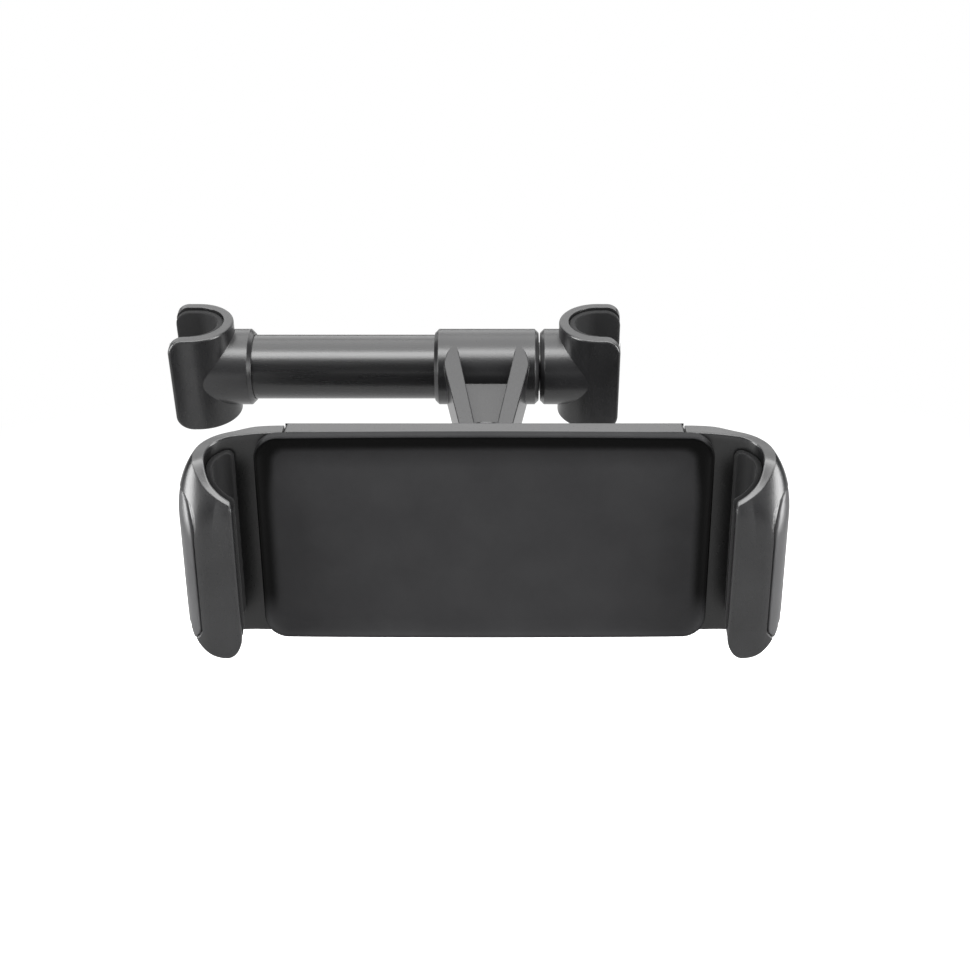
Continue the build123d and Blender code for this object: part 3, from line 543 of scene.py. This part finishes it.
@dataclass(frozen=True)
class Notch:
    """Step in the jaw's plate beside the housing, which leaves the cover's end free."""

    foot: float = -19.2
    top: float = 20.2
    ease: float = 0.5
    depth: float = 2.3
    reach: float = 7.0

    def cut(self, across: Array, up: Array, edge: float) -> Array:
        """Draws the plate's edge outwards between two heights.

        The points within reach of the edge are spread evenly between the new edge and the reach's end.

        Args:
            across: distance from the holder's centre.
            up: height.
            edge: where the plate begins, from the centre.

        Returns:
            The new distances from the centre.
        """
        share = smooth((up - self.foot) / self.ease) * smooth((self.top - up) / self.ease)
        start = edge + self.depth * share
        along = np.clip((across - edge) / self.reach, 0.0, 1.0)
        return np.where(along < 1.0, start + (edge + self.reach - start) * along, across)


@dataclass
class Jaw:
    """One spring jaw: hooked plate, liner in the hook, inset side panel and the block the rods end in.

    Pairs hold (along, height) of a rounding, (start, length) of a run or (low, high) ends. The pulls are
    end directions of curves, and the ways are the directions in which the liner's face lies inside the
    hollow at its turn and its edge.
    """

    side: Side
    palette: Palette
    inner: float = 46.12
    half: float = 69.6
    height: float = 52.0
    plate: float = 4.5
    lip: float = 13.8
    lip_end: float = 56.5
    wall: float = 6.4
    corner: float = 17.0
    tip: float = 2.0
    fall: float = 2.1
    hook: float = 5.5
    hook_turn: float = 2.2
    bulge: float = 7.2
    top_fall: float = 18.4
    top_bend: Pair = (6.0, 1.9)
    top_pulls: tuple = ((5.0, -0.5), (6.0, -5.0), (8.0, -14.0))
    hollow_pulls: tuple = ((0.0, 4.6), (-4.2, 2.9), (-6.0, 2.1))
    turn_way: Pair = (0.62, 0.78)
    edge_way: Pair = (0.33, 0.944)
    top_droop: float = 2.5
    droop_run: Pair = (47.0, 18.0)
    droop_most: float = 1.1
    nose: Pair = (9.5, 12.0)
    toe: Pair = (3.8, 6.0)
    toe_run: Pair = (5.5, 2.0)
    liner_thick: float = 1.65
    liner_seat: float = 0.05
    liner_edge: float = 57.2
    liner_rise: float = 5.0
    liner_clear: float = 1.0
    liner_drop: float = 3.0
    liner_corner: float = 2.2
    liner_back: Pair = (3.5, 2.0)
    strip: float = 2.9
    strip_loss: float = 0.62
    strip_run: Pair = (4.0, 8.0)
    shoulder: float = 10.0
    full_shoulder: float = 2.6
    least_round: float = 0.4
    lead: float = 0.55
    cross: float = 0.4
    panel_middle: float = 7.25
    panel_half: float = 5.75
    panel_ends: Pair = (-22.6, 15.5)
    panel_rounds: Pair = (4.5, 11.0)
    panel_seat: float = 0.9
    panel_under: float = 0.04
    groove: float = 0.3
    groove_side: float = 0.3
    block_centre: Pair = (55.8, -1.5)
    block_half: Pair = (5.2, 15.0)
    block_round: float = 2.0
    wall_from: float = 64.0
    # Painted shade: how far the hook's hollow is darkened where shade falls.
    hollow_painted_shade: float = 0.8
    # Painted shade: how far the liner in the hollow is darkened.
    liner_painted_shade: float = 0.65
    notch: Notch = Notch()

    plate_rows = 9
    arc_rows = 60
    bend_rows = 70
    softening_rows = (6.0, 22.0)

    def top(self, across: Array, ahead: Array) -> Array:
        """Height of the top edge: level over the plate, drooping round the corner, then an S to the lip."""
        crest = self.height / 2
        bend = (self.top_bend[0], crest - self.top_bend[1])
        line = hermite([(0, crest), bend, (self.lip + self.tip, crest - self.top_fall)], self.top_pulls, 30)
        start, length = self.droop_run
        droop = self.top_droop * np.clip((across - start) / length, 0.0, self.droop_most) ** 2
        return np.interp(ahead, line[:, 0], line[:, 1]) - droop

    def foot(self, across: Array, ahead: Array) -> Array:
        """Height of the foot: level, with a round nose outside and a round toe at the lip's free edge."""
        out = np.clip((across - self.half) / self.nose[0] + 1.0, 0.0, 1.0)
        back = np.clip((self.lip_end - across) / self.toe[0] + 1.0, 0.0, 1.0)
        toe = self.toe[1] * round_off(back) * ease(ahead, self.toe_run)
        return self.nose[1] * round_off(out) + toe - self.height / 2

    def liner_round(self, across: Array, ahead: Array) -> Array:
        """How much a quarter circle takes off the liner's corners along its back edge, by the plate."""
        past = np.clip((self.liner_edge + self.liner_corner - across) / self.liner_corner, 0.0, 1.0)
        return self.liner_corner * round_off(past) * (1.0 - ease(ahead, self.liner_back))

    def liner_top(self, across: Array, ahead: Array) -> Array:
        """Height of the liner's top: a little under the jaw's own top edge, rounded at the back edge."""
        return self.top(across, ahead) - self.liner_drop - self.liner_round(across, ahead)

    def liner_foot(self, across: Array, ahead: Array) -> Array:
        """Height of the liner's foot: level, a little above the jaw's own foot, rounded at the back edge."""
        level = np.maximum(self.liner_rise - self.height / 2, self.foot(across, ahead) + self.liner_clear)
        return level + self.liner_round(across, ahead)

    def hollow(self, inset: float, first: float = 0.0) -> Array:
        """Plan of the hook's hollow: a quarter circle off the plate, then a curve to the lip's free edge.

        Args:
            inset: how far the plan lies inside the hollow.
            first: angle at which the quarter circle is begun, in radians.

        Returns:
            The plan's points, one (across, ahead) row each.
        """
        wall = self.half - self.wall
        floor = self.lip - self.tip
        turn = np.linspace(first - QUARTER, 0, 16)
        centre = (wall - self.hook, self.hook)
        arc = np.stack((np.cos(turn), np.sin(turn)), axis=1) * (self.hook - inset) + centre
        knots = [
            (wall - inset, self.hook),
            (wall - self.hook_turn - self.turn_way[0] * inset, floor - self.fall - self.turn_way[1] * inset),
            (self.lip_end - self.edge_way[0] * inset, floor - self.edge_way[1] * inset),
        ]
        curve = hermite(knots, self.hollow_pulls, 24)
        return np.concatenate((even(arc, self.arc_rows), slowing(curve, self.arc_rows)[1:]))

    def paths(self) -> tuple:
        """Matching plans of the jaw's outer and inner faces, from the housing round the hook to the lip."""
        corner = self.half - self.corner
        lip_x = self.half - self.lip + self.bulge
        start = np.linspace(self.inner, corner, self.plate_rows + 1)[:-1]
        turn = np.linspace(0.0, QUARTER, 200)
        back = np.stack((
            corner + self.corner * np.sin(turn),
            self.bulge - (self.bulge + self.plate) * np.cos(turn),
        ), axis=-1)
        front = np.stack((
            lip_x + (self.half - lip_x) * np.cos(turn),
            self.bulge + (self.lip - self.bulge) * np.sin(turn),
        ), axis=-1)
        front = np.concatenate((front, [[self.lip_end, self.lip]]))
        hollow = self.hollow(0.0)
        bend = np.concatenate(([[corner, 0.0]], hollow[: self.arc_rows]))

        def join(ahead: float, first: Array, last: Array) -> Array:
            """The straight plate at a depth, then the bend, then the stretch to the lip."""
            straight = np.stack((start, np.full(len(start), ahead)), axis=-1)
            return np.concatenate((straight, even(first, self.bend_rows)[:-1], slowing(last, self.bend_rows)))

        outer = join(-self.plate, back, front)
        inner = join(0.0, bend, hollow[self.arc_rows - 1 :])
        return round_ends(outer, inner, 0.0, 1.0)

    def strip_width(self, ahead: Array) -> Array:
        """Width of the level strip along the top edge, which narrows towards the lip's end."""
        return self.strip * (1.0 - self.strip_loss * ease(ahead, self.strip_run))

    def shoulder_of(self, thick: Array, ahead: Array) -> tuple:
        """Width and height of the shoulder outside the strip: the rest of the thickness, lower where thin."""
        wide = np.maximum(thick - self.strip_width(ahead), self.least_round)
        return wide, self.shoulder * np.clip(wide / self.full_shoulder, 0.05, 1.0)

    def panel_gap(self, ahead: Array, up: Array) -> Array:
        """Distance outside the side panel's outline, negative inside.

        The outline is two straight flanks with half an ellipse at each end. The share of the way to it,
        less 1, is divided by the length of that share's gradient.

        Args:
            ahead: distance before the panel's face.
            up: height.

        Returns:
            The distance.
        """
        base, crown = self.panel_rounds
        under = np.maximum(self.panel_ends[0] + base - up, 0.0)
        over = np.maximum(up - self.panel_ends[1] + crown, 0.0)
        wide = (ahead - self.panel_middle) / self.panel_half
        share = np.hypot(wide, under / base + over / crown)
        slope = np.hypot(wide / self.panel_half, under / base**2 + over / crown**2) / np.maximum(share, TINY)
        return (share - 1.0) / np.maximum(slope, TINY)

    def place(self, across: Array, ahead: Array, up: Array) -> Array:
        """Points of this jaw in metres, with across turned to its side."""
        return HOLDER.place(self.side.value * across, ahead, up)

    def build_plate(self) -> Piece:
        """Hooked plate: a rounded section carried round the hook to the lip, sunk where the panel sits."""
        outer, inner = self.paths()
        thick = np.linalg.norm(outer - inner, axis=1)
        beside = np.array([[0.5, 0.5], [0.4, 0.4], [0.4, 0.4], [0.7, 0.7]])
        radii = np.tile(np.array([[0.7, 0.7], [0.5, 0.5], [0.0, 0.0], [1.0, 1.0]]), (len(outer), 1, 1))
        radii[:, 2, 0], radii[:, 2, 1] = self.shoulder_of(thick, inner[:, 1])
        bend = ease(np.arange(len(outer)), self.softening_rows)[:, None, None]
        radii = beside[None] * (1 - bend) + radii * bend
        shape = Section(
            shoulder=36, inner_side=44, outer_side=110, level=22, lead=self.lead, cross=self.cross
        )
        rings = shape.carry(outer, inner, self.top, self.foot, radii)
        across, ahead, up = np.moveaxis(rings, -1, 0)
        sink = smooth((self.groove - self.panel_gap(ahead, up)) / self.groove_side)
        from_inner = np.linalg.norm(rings[..., :2] - inner[:, None, :], axis=-1)
        from_outer = np.linalg.norm(rings[..., :2] - outer[:, None, :], axis=-1)
        sink = self.panel_seat * sink * (from_inner > from_outer) * (across > self.wall_from)
        inwards = ((inner - outer) / np.maximum(thick, TINY)[:, None])[:, None, :]
        across, ahead = across + sink * inwards[..., 0], ahead + sink * inwards[..., 1]
        points = self.place(self.notch.cut(across, up, self.inner), ahead, up)
        hollow = np.arange(rings.shape[1]) < shape.corner + shape.inner_side
        # Paints shade on the inner face, in the hook's hollow.
        return surface(f"{self.side.word}_jaw_plate", points, Cap.FAN, self.hollow_painted_shade * hollow)

    def build_block(self) -> Piece:
        """Rod block: rounded-rectangle rings that narrow from the plate to a rounded end face."""
        depth = np.array([3.6, 4.6, 8.2, 8.9, 9.2, 9.2])[:, None]
        draw = np.array([-1.95, -1.65, -0.35, 0.0, 0.5, 1.6])[:, None]
        turn = np.linspace(0.0, TURN, 96, endpoint=False)[None, :]
        across, up = (
            middle + np.sign(way) * (half - draw - self.block_round) + self.block_round * way
            for middle, half, way in zip(self.block_centre, self.block_half, (np.cos(turn), np.sin(turn)))
        )
        return surface(f"{self.side.word}_rod_block", self.place(across, -depth, up), Cap.FAN)

    def build_liner(self) -> Piece:
        """Liner: a thin rounded section carried along the hook's hollow, half round at both ends."""
        first = math.asin((self.liner_edge - self.half + self.wall + self.hook) / self.hook)
        outer = self.hollow(self.liner_seat, first)
        inner = self.hollow(self.liner_seat + self.liner_thick, first)
        outer, inner = round_ends(outer, inner, 0.8, 0.8)
        radii = np.tile(np.array([[0.6, 0.6], [0.6, 0.9], [0.3, 0.3], [0.3, 0.3]]), (len(outer), 1, 1))
        shape = Section(inner_side=24, outer_side=24, level=6)
        rings = shape.carry(outer, inner, self.liner_top, self.liner_foot, radii)
        points = self.place(*np.moveaxis(rings, -1, 0))
        # The liner is darkened all over by painted shade.
        return surface(f"{self.side.word}_hook_liner", points, Cap.FAN, self.liner_painted_shade)

    def on_wall(self, ahead: Array, up: Array, sunk: Array) -> tuple:
        """Finds points on the bulging outer wall.

        They lie on the wall's plan, drawn in by the shoulder under the top strip and by the round nose.

        Args:
            ahead: distance before the panel's face.
            up: height.
            sunk: depth under the wall's surface.

        Returns:
            Across and ahead of the points.
        """
        outer, inner = (path[self.plate_rows :] for path in self.paths())
        thick = np.linalg.norm(inner - outer, axis=1)
        inwards = (inner - outer) / np.maximum(thick, TINY)[:, None]
        number = np.arange(len(outer))
        rising = 120  # rows over which the wall runs steadily ahead
        row = np.interp(ahead, outer[:rising, 1], number[:rising])
        across, way_x, way_y, inside, wall = (
            np.interp(row, number, values)
            for values in (outer[:, 0], inwards[:, 0], inwards[:, 1], inner[:, 1], thick)
        )
        deep, tall = self.shoulder_of(wall, inside)
        height = self.top(across, inside + self.cross * (ahead - inside))
        down = np.clip((height - up) / tall, 0.0, 1.0)
        turn = np.arccos(math.cos(self.lead) * (1.0 - down))
        out = (np.sin(turn) - math.sin(self.lead)) / (1.0 - math.sin(self.lead))
        low = np.clip(1.0 - (up + self.height / 2) / self.nose[1], 0.0, 0.99)
        bound = self.half - self.nose[0] * round_off(low)
        drawn = deep * (1.0 - out) + sunk
        return np.minimum(across + way_x * drawn, bound - sunk), ahead + way_y * drawn

    def build_panel(self) -> Piece:
        """Side panel: oval rings from its middle line to its edge and back, set on the outer wall."""
        base, crown = self.panel_rounds
        low, high = self.panel_ends[0] + base, self.panel_ends[1] - crown
        turn = np.linspace(0.0, np.pi, 36)
        flank = np.linspace(low, high, 34)[1:-1]
        ones, none = np.ones(len(flank)), np.zeros(len(flank))
        ahead = np.concatenate((np.cos(turn), -ones, -np.cos(turn), ones))
        middle = np.concatenate((np.full(len(turn), high), flank[::-1], np.full(len(turn), low), flank))
        lift = np.concatenate((crown * np.sin(turn), none, -base * np.sin(turn), none))
        ring = np.array([0.0, 0.2, 0.4, 0.6, 0.75, 0.88, 0.95, 0.975, 0.99, 1.0, 1.0, 0.5, 0.0])[:, None]
        down = np.array([0, 0, 0, 0, 0, 0, 0, 0.01, 0.05, 0.14, 0.8, 0.8, 0.8])[:, None]
        depth = self.panel_middle + ring * self.panel_half * ahead
        up = middle + ring * lift
        across, depth = self.on_wall(depth, up, self.panel_under + down)
        return surface(f"{self.side.word}_side_panel_face", self.place(across, depth, up))

    def build(self) -> None:
        """Builds the jaw's pieces, sets them in the place of their CAD solids and dresses them."""
        body = f"{self.side.word}_jaw"
        shaped = (
            (self.build_plate(), body, self.palette.moulding),
            (self.build_block(), body, self.palette.moulding),
            (self.build_liner(), f"{body}_liner", self.palette.rubber),
            (self.build_panel(), f"{self.side.word}_side_panel", self.palette.panel),
        )
        for piece, node, finish in shaped:
            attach(piece, body)
            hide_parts(node)
            self.palette.dress(piece, finish)


@dataclass
class FrontPad:
    """Rubber pad on the holder's face: a raised rim, a hollow band and a flat floor."""

    palette: Palette
    half: Pair = (52.6, 26.5)
    bend: float = 5.5
    thick: float = 3.0
    dish: float = 1.9
    slope: float = 4.2
    crest: float = 0.08
    bow: float = 0.35
    seat: float = 0.05
    wing_seat: float = 0.37
    wing_run: Pair = (45.1, 0.8)
    least_bend: float = 0.6
    # These runs only shape the painted shade on the pad's band and side rims.
    band_run: Pair = (0.35, 0.25)
    band_end: Pair = (1.9, 2.6)
    top_reach: float = 1.2
    top_run: Pair = (10.0, 12.0)
    rim: float = 0.6
    rim_run: Pair = (49.5, 2.0)
    foot_run: Pair = (14.0, 9.0)
    quarter: int = 30

    def rings(self) -> tuple:
        """How far each ring is drawn in from the outline, and how far it stands before the panel's face."""
        floor = self.thick - self.dish
        turn = np.linspace(0.0, QUARTER, 14)
        drawn = np.array([8.0, 2.2, 0.7, 0.2, 0.0, 0.0, 0.03, 0.11, 0.24, 0.36, 0.46])
        stand = np.array([0.0, 0.0, 0.0, 0.15, 0.5, 2.5, 2.76, 2.92, 2.99, 3.0, 2.98])
        cove = 0.5 + self.slope * (1 - np.cos(turn))
        sunk = self.thick - self.crest - (self.dish - self.crest) * np.sin(turn)
        return np.concatenate((drawn, cove, [9.0, 16.0])), np.concatenate((stand, sunk, [floor, floor]))

    def outline(self, drawn: Array) -> tuple:
        """Rounded rectangle drawn in: straight sides joined by quarter circles, bowed out at the middle.

        Args:
            drawn: how far each ring lies inside the pad's outline, one row each.

        Returns:
            Across and up, rings by columns.
        """
        turn = np.linspace(0.0, QUARTER, self.quarter)
        side = np.linspace(0.0, 1.0, self.quarter + 2)[1:-1]
        radius = np.maximum(self.bend - 0.6 * drawn, self.least_bend)[:, None]
        wide = self.half[0] - drawn[:, None] - radius
        tall = self.half[1] - drawn[:, None] - radius
        corners = [(1, 1), (-1, 1), (-1, -1), (1, -1)]
        across, up = [], []
        for number, ((sx, sz), (nx, nz)) in enumerate(zip(corners, corners[1:] + corners[:1])):
            angle = turn + number * QUARTER
            out_x, out_z = radius * np.cos(angle), radius * np.sin(angle)
            across += [sx * wide + out_x, wide * (sx + (nx - sx) * side) + out_x[:, -1:]]
            up += [sz * tall + out_z, tall * (sz + (nz - sz) * side) + out_z[:, -1:]]
        across, up = np.concatenate(across, axis=1), np.concatenate(up, axis=1)
        return across, up * (1.0 - self.bow / self.half[1] * (across / self.half[0]) ** 2)

    def painted_band_shade(self, drawn: Array, stand: Array, across: Array, up: Array) -> Array:
        """Painted shade on the rubber: full in the band and on the side rims, fading out at the foot.

        Args:
            drawn: how far each ring lies inside the outline.
            stand: how far each ring stands before the panel's face.
            across: distance from the pad's centre.
            up: height from the pad's centre.

        Returns:
            The share of the painted shade, rings by columns.
        """
        further = self.top_reach * ease(up, self.top_run)
        band = ease(drawn, self.band_run) * (1 - ease(drawn - further, self.band_end))
        rim = (drawn < self.rim) * ease(np.abs(across), self.rim_run)
        return np.maximum(band, rim) * (stand > 0.5) * (1 - ease(-up, self.foot_run))

    def build(self) -> None:
        """Pad: nested rounded-rectangle rings from the back round the rim and down the band to the floor."""
        drawn, stand = (values[:, None] for values in self.rings())
        across, up = self.outline(drawn[:, 0])
        behind = self.seat + self.wing_seat * ease(np.abs(across), self.wing_run)
        points = HOLDER.place(across, np.maximum(stand, behind), up)
        # The pad's band and side rims are darkened by painted shade.
        piece = surface("front_pad_face", points, Cap.FAN, self.painted_band_shade(drawn, stand, across, up))
        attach(piece, "holder")
        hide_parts("front_pad")
        self.palette.dress(piece, self.palette.pad)


@dataclass
class ClawLiner:
    """Rubber J in a claw: half a turn round the post and the straight back leg, leaning by degrees."""

    side: Side
    palette: Palette
    bore: float = 6.0
    outer: float = 7.65
    leg: float = 6.0
    half: float = 12.5
    tip: float = 4.0
    lean: float = 9.5
    # Painted shade: how far the liner in the claw's bore is darkened.
    painted_shade: float = 0.5

    @property
    def post(self) -> float:
        """Where this claw's post stands along X."""
        return 0.0 if self.side is Side.LEFT else 103.0

    def path(self, radius: float) -> Array:
        """Plan at a radius: half a turn of a circle on the closed side, then the straight leg."""
        turn = np.linspace(-QUARTER, QUARTER, 60)
        leg = np.linspace(0.0, self.leg, 26)[1:]
        bend = np.stack((-np.cos(turn) * radius, np.sin(turn) * radius), axis=-1)
        return np.concatenate((bend, np.stack((leg, np.full(len(leg), radius)), axis=-1)))

    def end(self, out: Array, _: Array) -> Array:
        """Half length, rounded off by a quarter circle at the leg's tip."""
        past = np.clip(out - self.leg + self.tip, 0.0, self.tip)
        return self.half - self.tip + np.sqrt(self.tip**2 - past**2)

    def build(self) -> None:
        """Liner: a rounded section carried along the J, turned to lean with the post."""
        outer, inner = round_ends(self.path(self.outer), self.path(self.bore), 0.7, 0.7)
        shape = Section(inner_side=16, outer_side=16, level=5)
        radii = np.full((len(outer), 4, 2), 0.5)
        rings = shape.carry(outer, inner, self.end, lambda out, back: -self.end(out, back), radii)
        lean = math.radians(self.lean)
        out, back, up = np.moveaxis(rings, -1, 0)
        points = (
            self.post + self.side.value * out,
            back * math.cos(lean) - up * math.sin(lean),
            back * math.sin(lean) + up * math.cos(lean),
        )
        name = f"{self.side.word}_post_liner"
        # The liner is darkened all over by painted shade.
        piece = surface(name, np.stack(points, axis=-1) * MM, Cap.FAN, self.painted_shade)
        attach(piece, "bar" if self.side is Side.LEFT else "slider")
        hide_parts(f"{self.side.word}_claw_liner")
        self.palette.dress(piece, self.palette.rubber)


@dataclass
class Spring:
    """Closing spring round one rod, squashed on to the end wall as its jaw is drawn out."""

    side: Side
    rod: Rod
    palette: Palette
    wall: float = 44.35
    cross: float = 35.85
    mean: float = 1.55
    wire: float = 0.19
    turns: int = 46
    closing: float = 0.02
    keep: float = 0.502

    @property
    def row(self) -> float:
        """How far behind the panel's face the rods of this side lie."""
        return 2.95 if self.side is Side.LEFT else 6.75

    def build(self) -> None:
        """Spring: a small circle carried along a helix about the rod's axis, its end turns closed up."""
        height = self.rod.value
        step = np.linspace(0.0, 1.0, self.turns * 18)
        close = step + self.closing * np.sin(TURN * step) / TURN
        length = self.wall + self.cross - 2 * self.wire
        along = self.wall - self.wire - close * length
        turn = TURN * self.turns * step
        ring = np.linspace(0.0, TURN, 8, endpoint=False)[None, :]
        radius = self.mean + self.wire * np.cos(ring)
        across = along[:, None] + self.wire * np.sin(ring)
        ahead = -self.row + radius * np.cos(turn)[:, None]
        up = height + radius * np.sin(turn)[:, None]
        name = f"{self.side.word}_{self.rod.name.lower()}_spring"
        piece = surface(f"{name}_coil", HOLDER.place(self.side.value * across, ahead, up), Cap.FAN)
        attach(piece, "holder")
        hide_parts(name)
        self.palette.dress(piece, self.palette.wire)
        anchor = HOLDER.place(np.array(self.side.value * self.wall), np.array(-self.row), np.array(height))
        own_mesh(piece)


@dataclass
class Solids:
    """CAD solids that stay in view, each with its finish."""

    palette: Palette

    def build(self) -> None:
        """Dresses every CAD solid by its record slot and shades its curved faces smooth."""
        finishes = {each.name: each for each in vars(self.palette).values() if isinstance(each, Finish)}
        slots = {entry["node"]: entry["material_slot"] for entry in frame["record"]["subparts"]}
        for node, piece in frame["nodes"].items():
            finish = finishes.get(slots.get(node, ""), self.palette.moulding)
            self.palette.dress(piece, finish)
            piece.data.shade_smooth()
            piece.data.set_sharp_from_angle(angle=CAD_SHARP)
            LOG.info("%s: %s", node, finish.name)


@dataclass(frozen=True)
class SoftBox:
    """An area light that faces a point, its power in watts."""

    name: str
    place: Triple
    aim: Triple
    size: Pair
    power: float

    def build(self) -> None:
        """Hangs the light and turns its face to its aim."""
        lamp = bpy.data.lights.new(self.name, "AREA")
        lamp.shape = "RECTANGLE"
        lamp.size, lamp.size_y = self.size[0] * MM, self.size[1] * MM
        lamp.energy = self.power
        light = add_object(self.name, lamp)
        light.location = Vector(self.place) * MM
        light.rotation_euler = (Vector(self.aim) - Vector(self.place)).to_track_quat("-Z", "Y").to_euler()


@dataclass
class Studio:
    """White sweep, soft overhead light and the camera of the photograph, pitched by degrees."""

    floor_z: float = -140.0
    floor_half: float = 6000.0
    pool: Pair = (160.0, 420.0)
    pool_centre: Pair = (74.5, -30.0)
    eye: Triple = (80.0, -381.0, 144.3)
    pitch: float = 25.0
    lens: float = 58.3
    shift: Pair = (-0.024, -0.0015)
    boxes: tuple[SoftBox, ...] = (
        SoftBox("top_box", (74.5, 50.0, 620.0), (74.5, -40.0, 0.0), (1000.0, 900.0), 9.5),
        SoftBox("back_box", (74.5, 620.0, 330.0), (74.5, -20.0, 0.0), (1300.0, 420.0), 3.6),
        SoftBox("key_box", (74.5, -285.0, 540.0), (74.5, -35.0, -10.0), (1100.0, 260.0), 8.5),
        SoftBox("left_box", (-330.0, -230.0, 90.0), (74.5, -30.0, -5.0), (220.0, 320.0), 4.0),
        SoftBox("right_box", (480.0, -230.0, 90.0), (74.5, -30.0, -5.0), (220.0, 320.0), 4.0),
    )

    def floor_material(self) -> Material:
        """Makes the floor's look: a pale matt sheet that glows white to the camera outside a round pool.

        The camera sees the glow by the distance from the pool's middle, eased between its two radii, and
        glossy rays see it everywhere, so that the mount mirrors a white floor.
        """
        material, nodes, shader = new_material("white_floor")
        where = nodes.add("TexCoord").outputs["Object"]
        cloud = nodes.add("TexNoise", Vector=where, Scale=3.0, Detail=2.0)
        tone = nodes.ramp(cloud.outputs["Fac"], [(0.3, grey(0.86)), (0.7, grey(0.9))])
        nodes.feed(shader, Base_Color=tone, Roughness=0.9, Specular_IOR_Level=0.1)
        back = tuple(-value * MM for value in (*self.pool_centre, 0.0))
        spot = nodes.add("Mapping", Vector=where, Location=back).outputs["Vector"]
        far = nodes.add("VectorMath", Vector=spot)
        far.operation = "LENGTH"
        near, end = (radius * MM for radius in self.pool)
        edge = nodes.add("MapRange", Value=far.outputs["Value"], From_Min=near, From_Max=end)
        edge.interpolation_type = "SMOOTHSTEP"
        path = nodes.add("LightPath")
        both = nodes.add("Math")
        both.operation = "MULTIPLY_ADD"
        nodes.join(both, edge.outputs["Result"], path.outputs["Is Camera Ray"], path.outputs["Is Glossy Ray"])
        glow = nodes.add("Emission", Color=WHITE, Strength=1.0)
        mix = nodes.add("MixShader", Fac=both.outputs["Value"])
        nodes.join(mix, shader.outputs["BSDF"], glow.outputs["Emission"])
        nodes.feed(material.node_tree.nodes["Material Output"], Surface=mix.outputs["Shader"])
        return material

    def build_floor(self) -> None:
        """Floor: one wide level sheet that takes the mount's shadow."""
        mesh = bpy.data.meshes.new("floor")
        size, low = self.floor_half * MM, self.floor_z * MM
        corners = [(-size, -size, low), (size, -size, low), (size, size, low), (-size, size, low)]
        mesh.from_pydata(corners, [], [(0, 1, 2, 3)])
        mesh.materials.append(self.floor_material())
        floor = add_object("floor", mesh)

    def build_world(self) -> None:
        """World: white behind the object for the camera, a dim sky that brightens overhead for the rest."""
        world = bpy.data.worlds.new("sky")
        bpy.context.scene.world = world
        world.use_nodes = True
        world.node_tree.nodes.clear()
        nodes = Nodes(world.node_tree)
        seen = nodes.add("Background", Color=WHITE, Strength=1.0)
        way = nodes.add("TexCoord").outputs["Generated"]
        rise = nodes.add("SeparateXYZ", Vector=way).outputs["Z"]
        stops = ((0.0, 0.03), (0.42, 0.06), (0.68, 0.7), (1.0, 1.0))
        tone = nodes.ramp(rise, [(height, grey(level)) for height, level in stops])
        sky = nodes.add("Background", Color=tone, Strength=0.55)
        path = nodes.add("LightPath")
        mix = nodes.add("MixShader", Fac=path.outputs["Is Camera Ray"])
        nodes.join(mix, sky.outputs["Background"], seen.outputs["Background"])
        nodes.add("OutputWorld", Surface=mix.outputs["Shader"])

    def build_camera(self) -> None:
        """Camera: level across, pitched down, with the small shift that the framing needs."""
        view = bpy.data.cameras.new("camera")
        view.lens = self.lens
        view.sensor_width = 36.0
        view.shift_x, view.shift_y = self.shift
        view.clip_start = 0.01
        camera = add_object("camera", view)
        camera.location = Vector(self.eye) * MM
        camera.rotation_euler = (math.radians(90.0 - self.pitch), 0.0, 0.0)
        bpy.context.scene.camera = camera
        bpy.context.scene.view_settings.view_transform = "Standard"

    def build(self) -> None:
        """Builds the floor, the sky, the lights and the camera."""
        self.build_floor()
        self.build_world()
        for box in self.boxes:
            box.build()
        self.build_camera()


def main() -> None:
    """Builds the mount's visible pieces, then the studio."""
    logging.basicConfig(level=logging.INFO)
    palette = Palette()
    Solids(palette).build()
    for side in Side:
        Jaw(side, palette).build()
        ClawLiner(side, palette).build()
        for rod in Rod:
            Spring(side, rod, palette).build()
    FrontPad(palette).build()
    Studio().build()


if __name__ == "__main__":
    main()
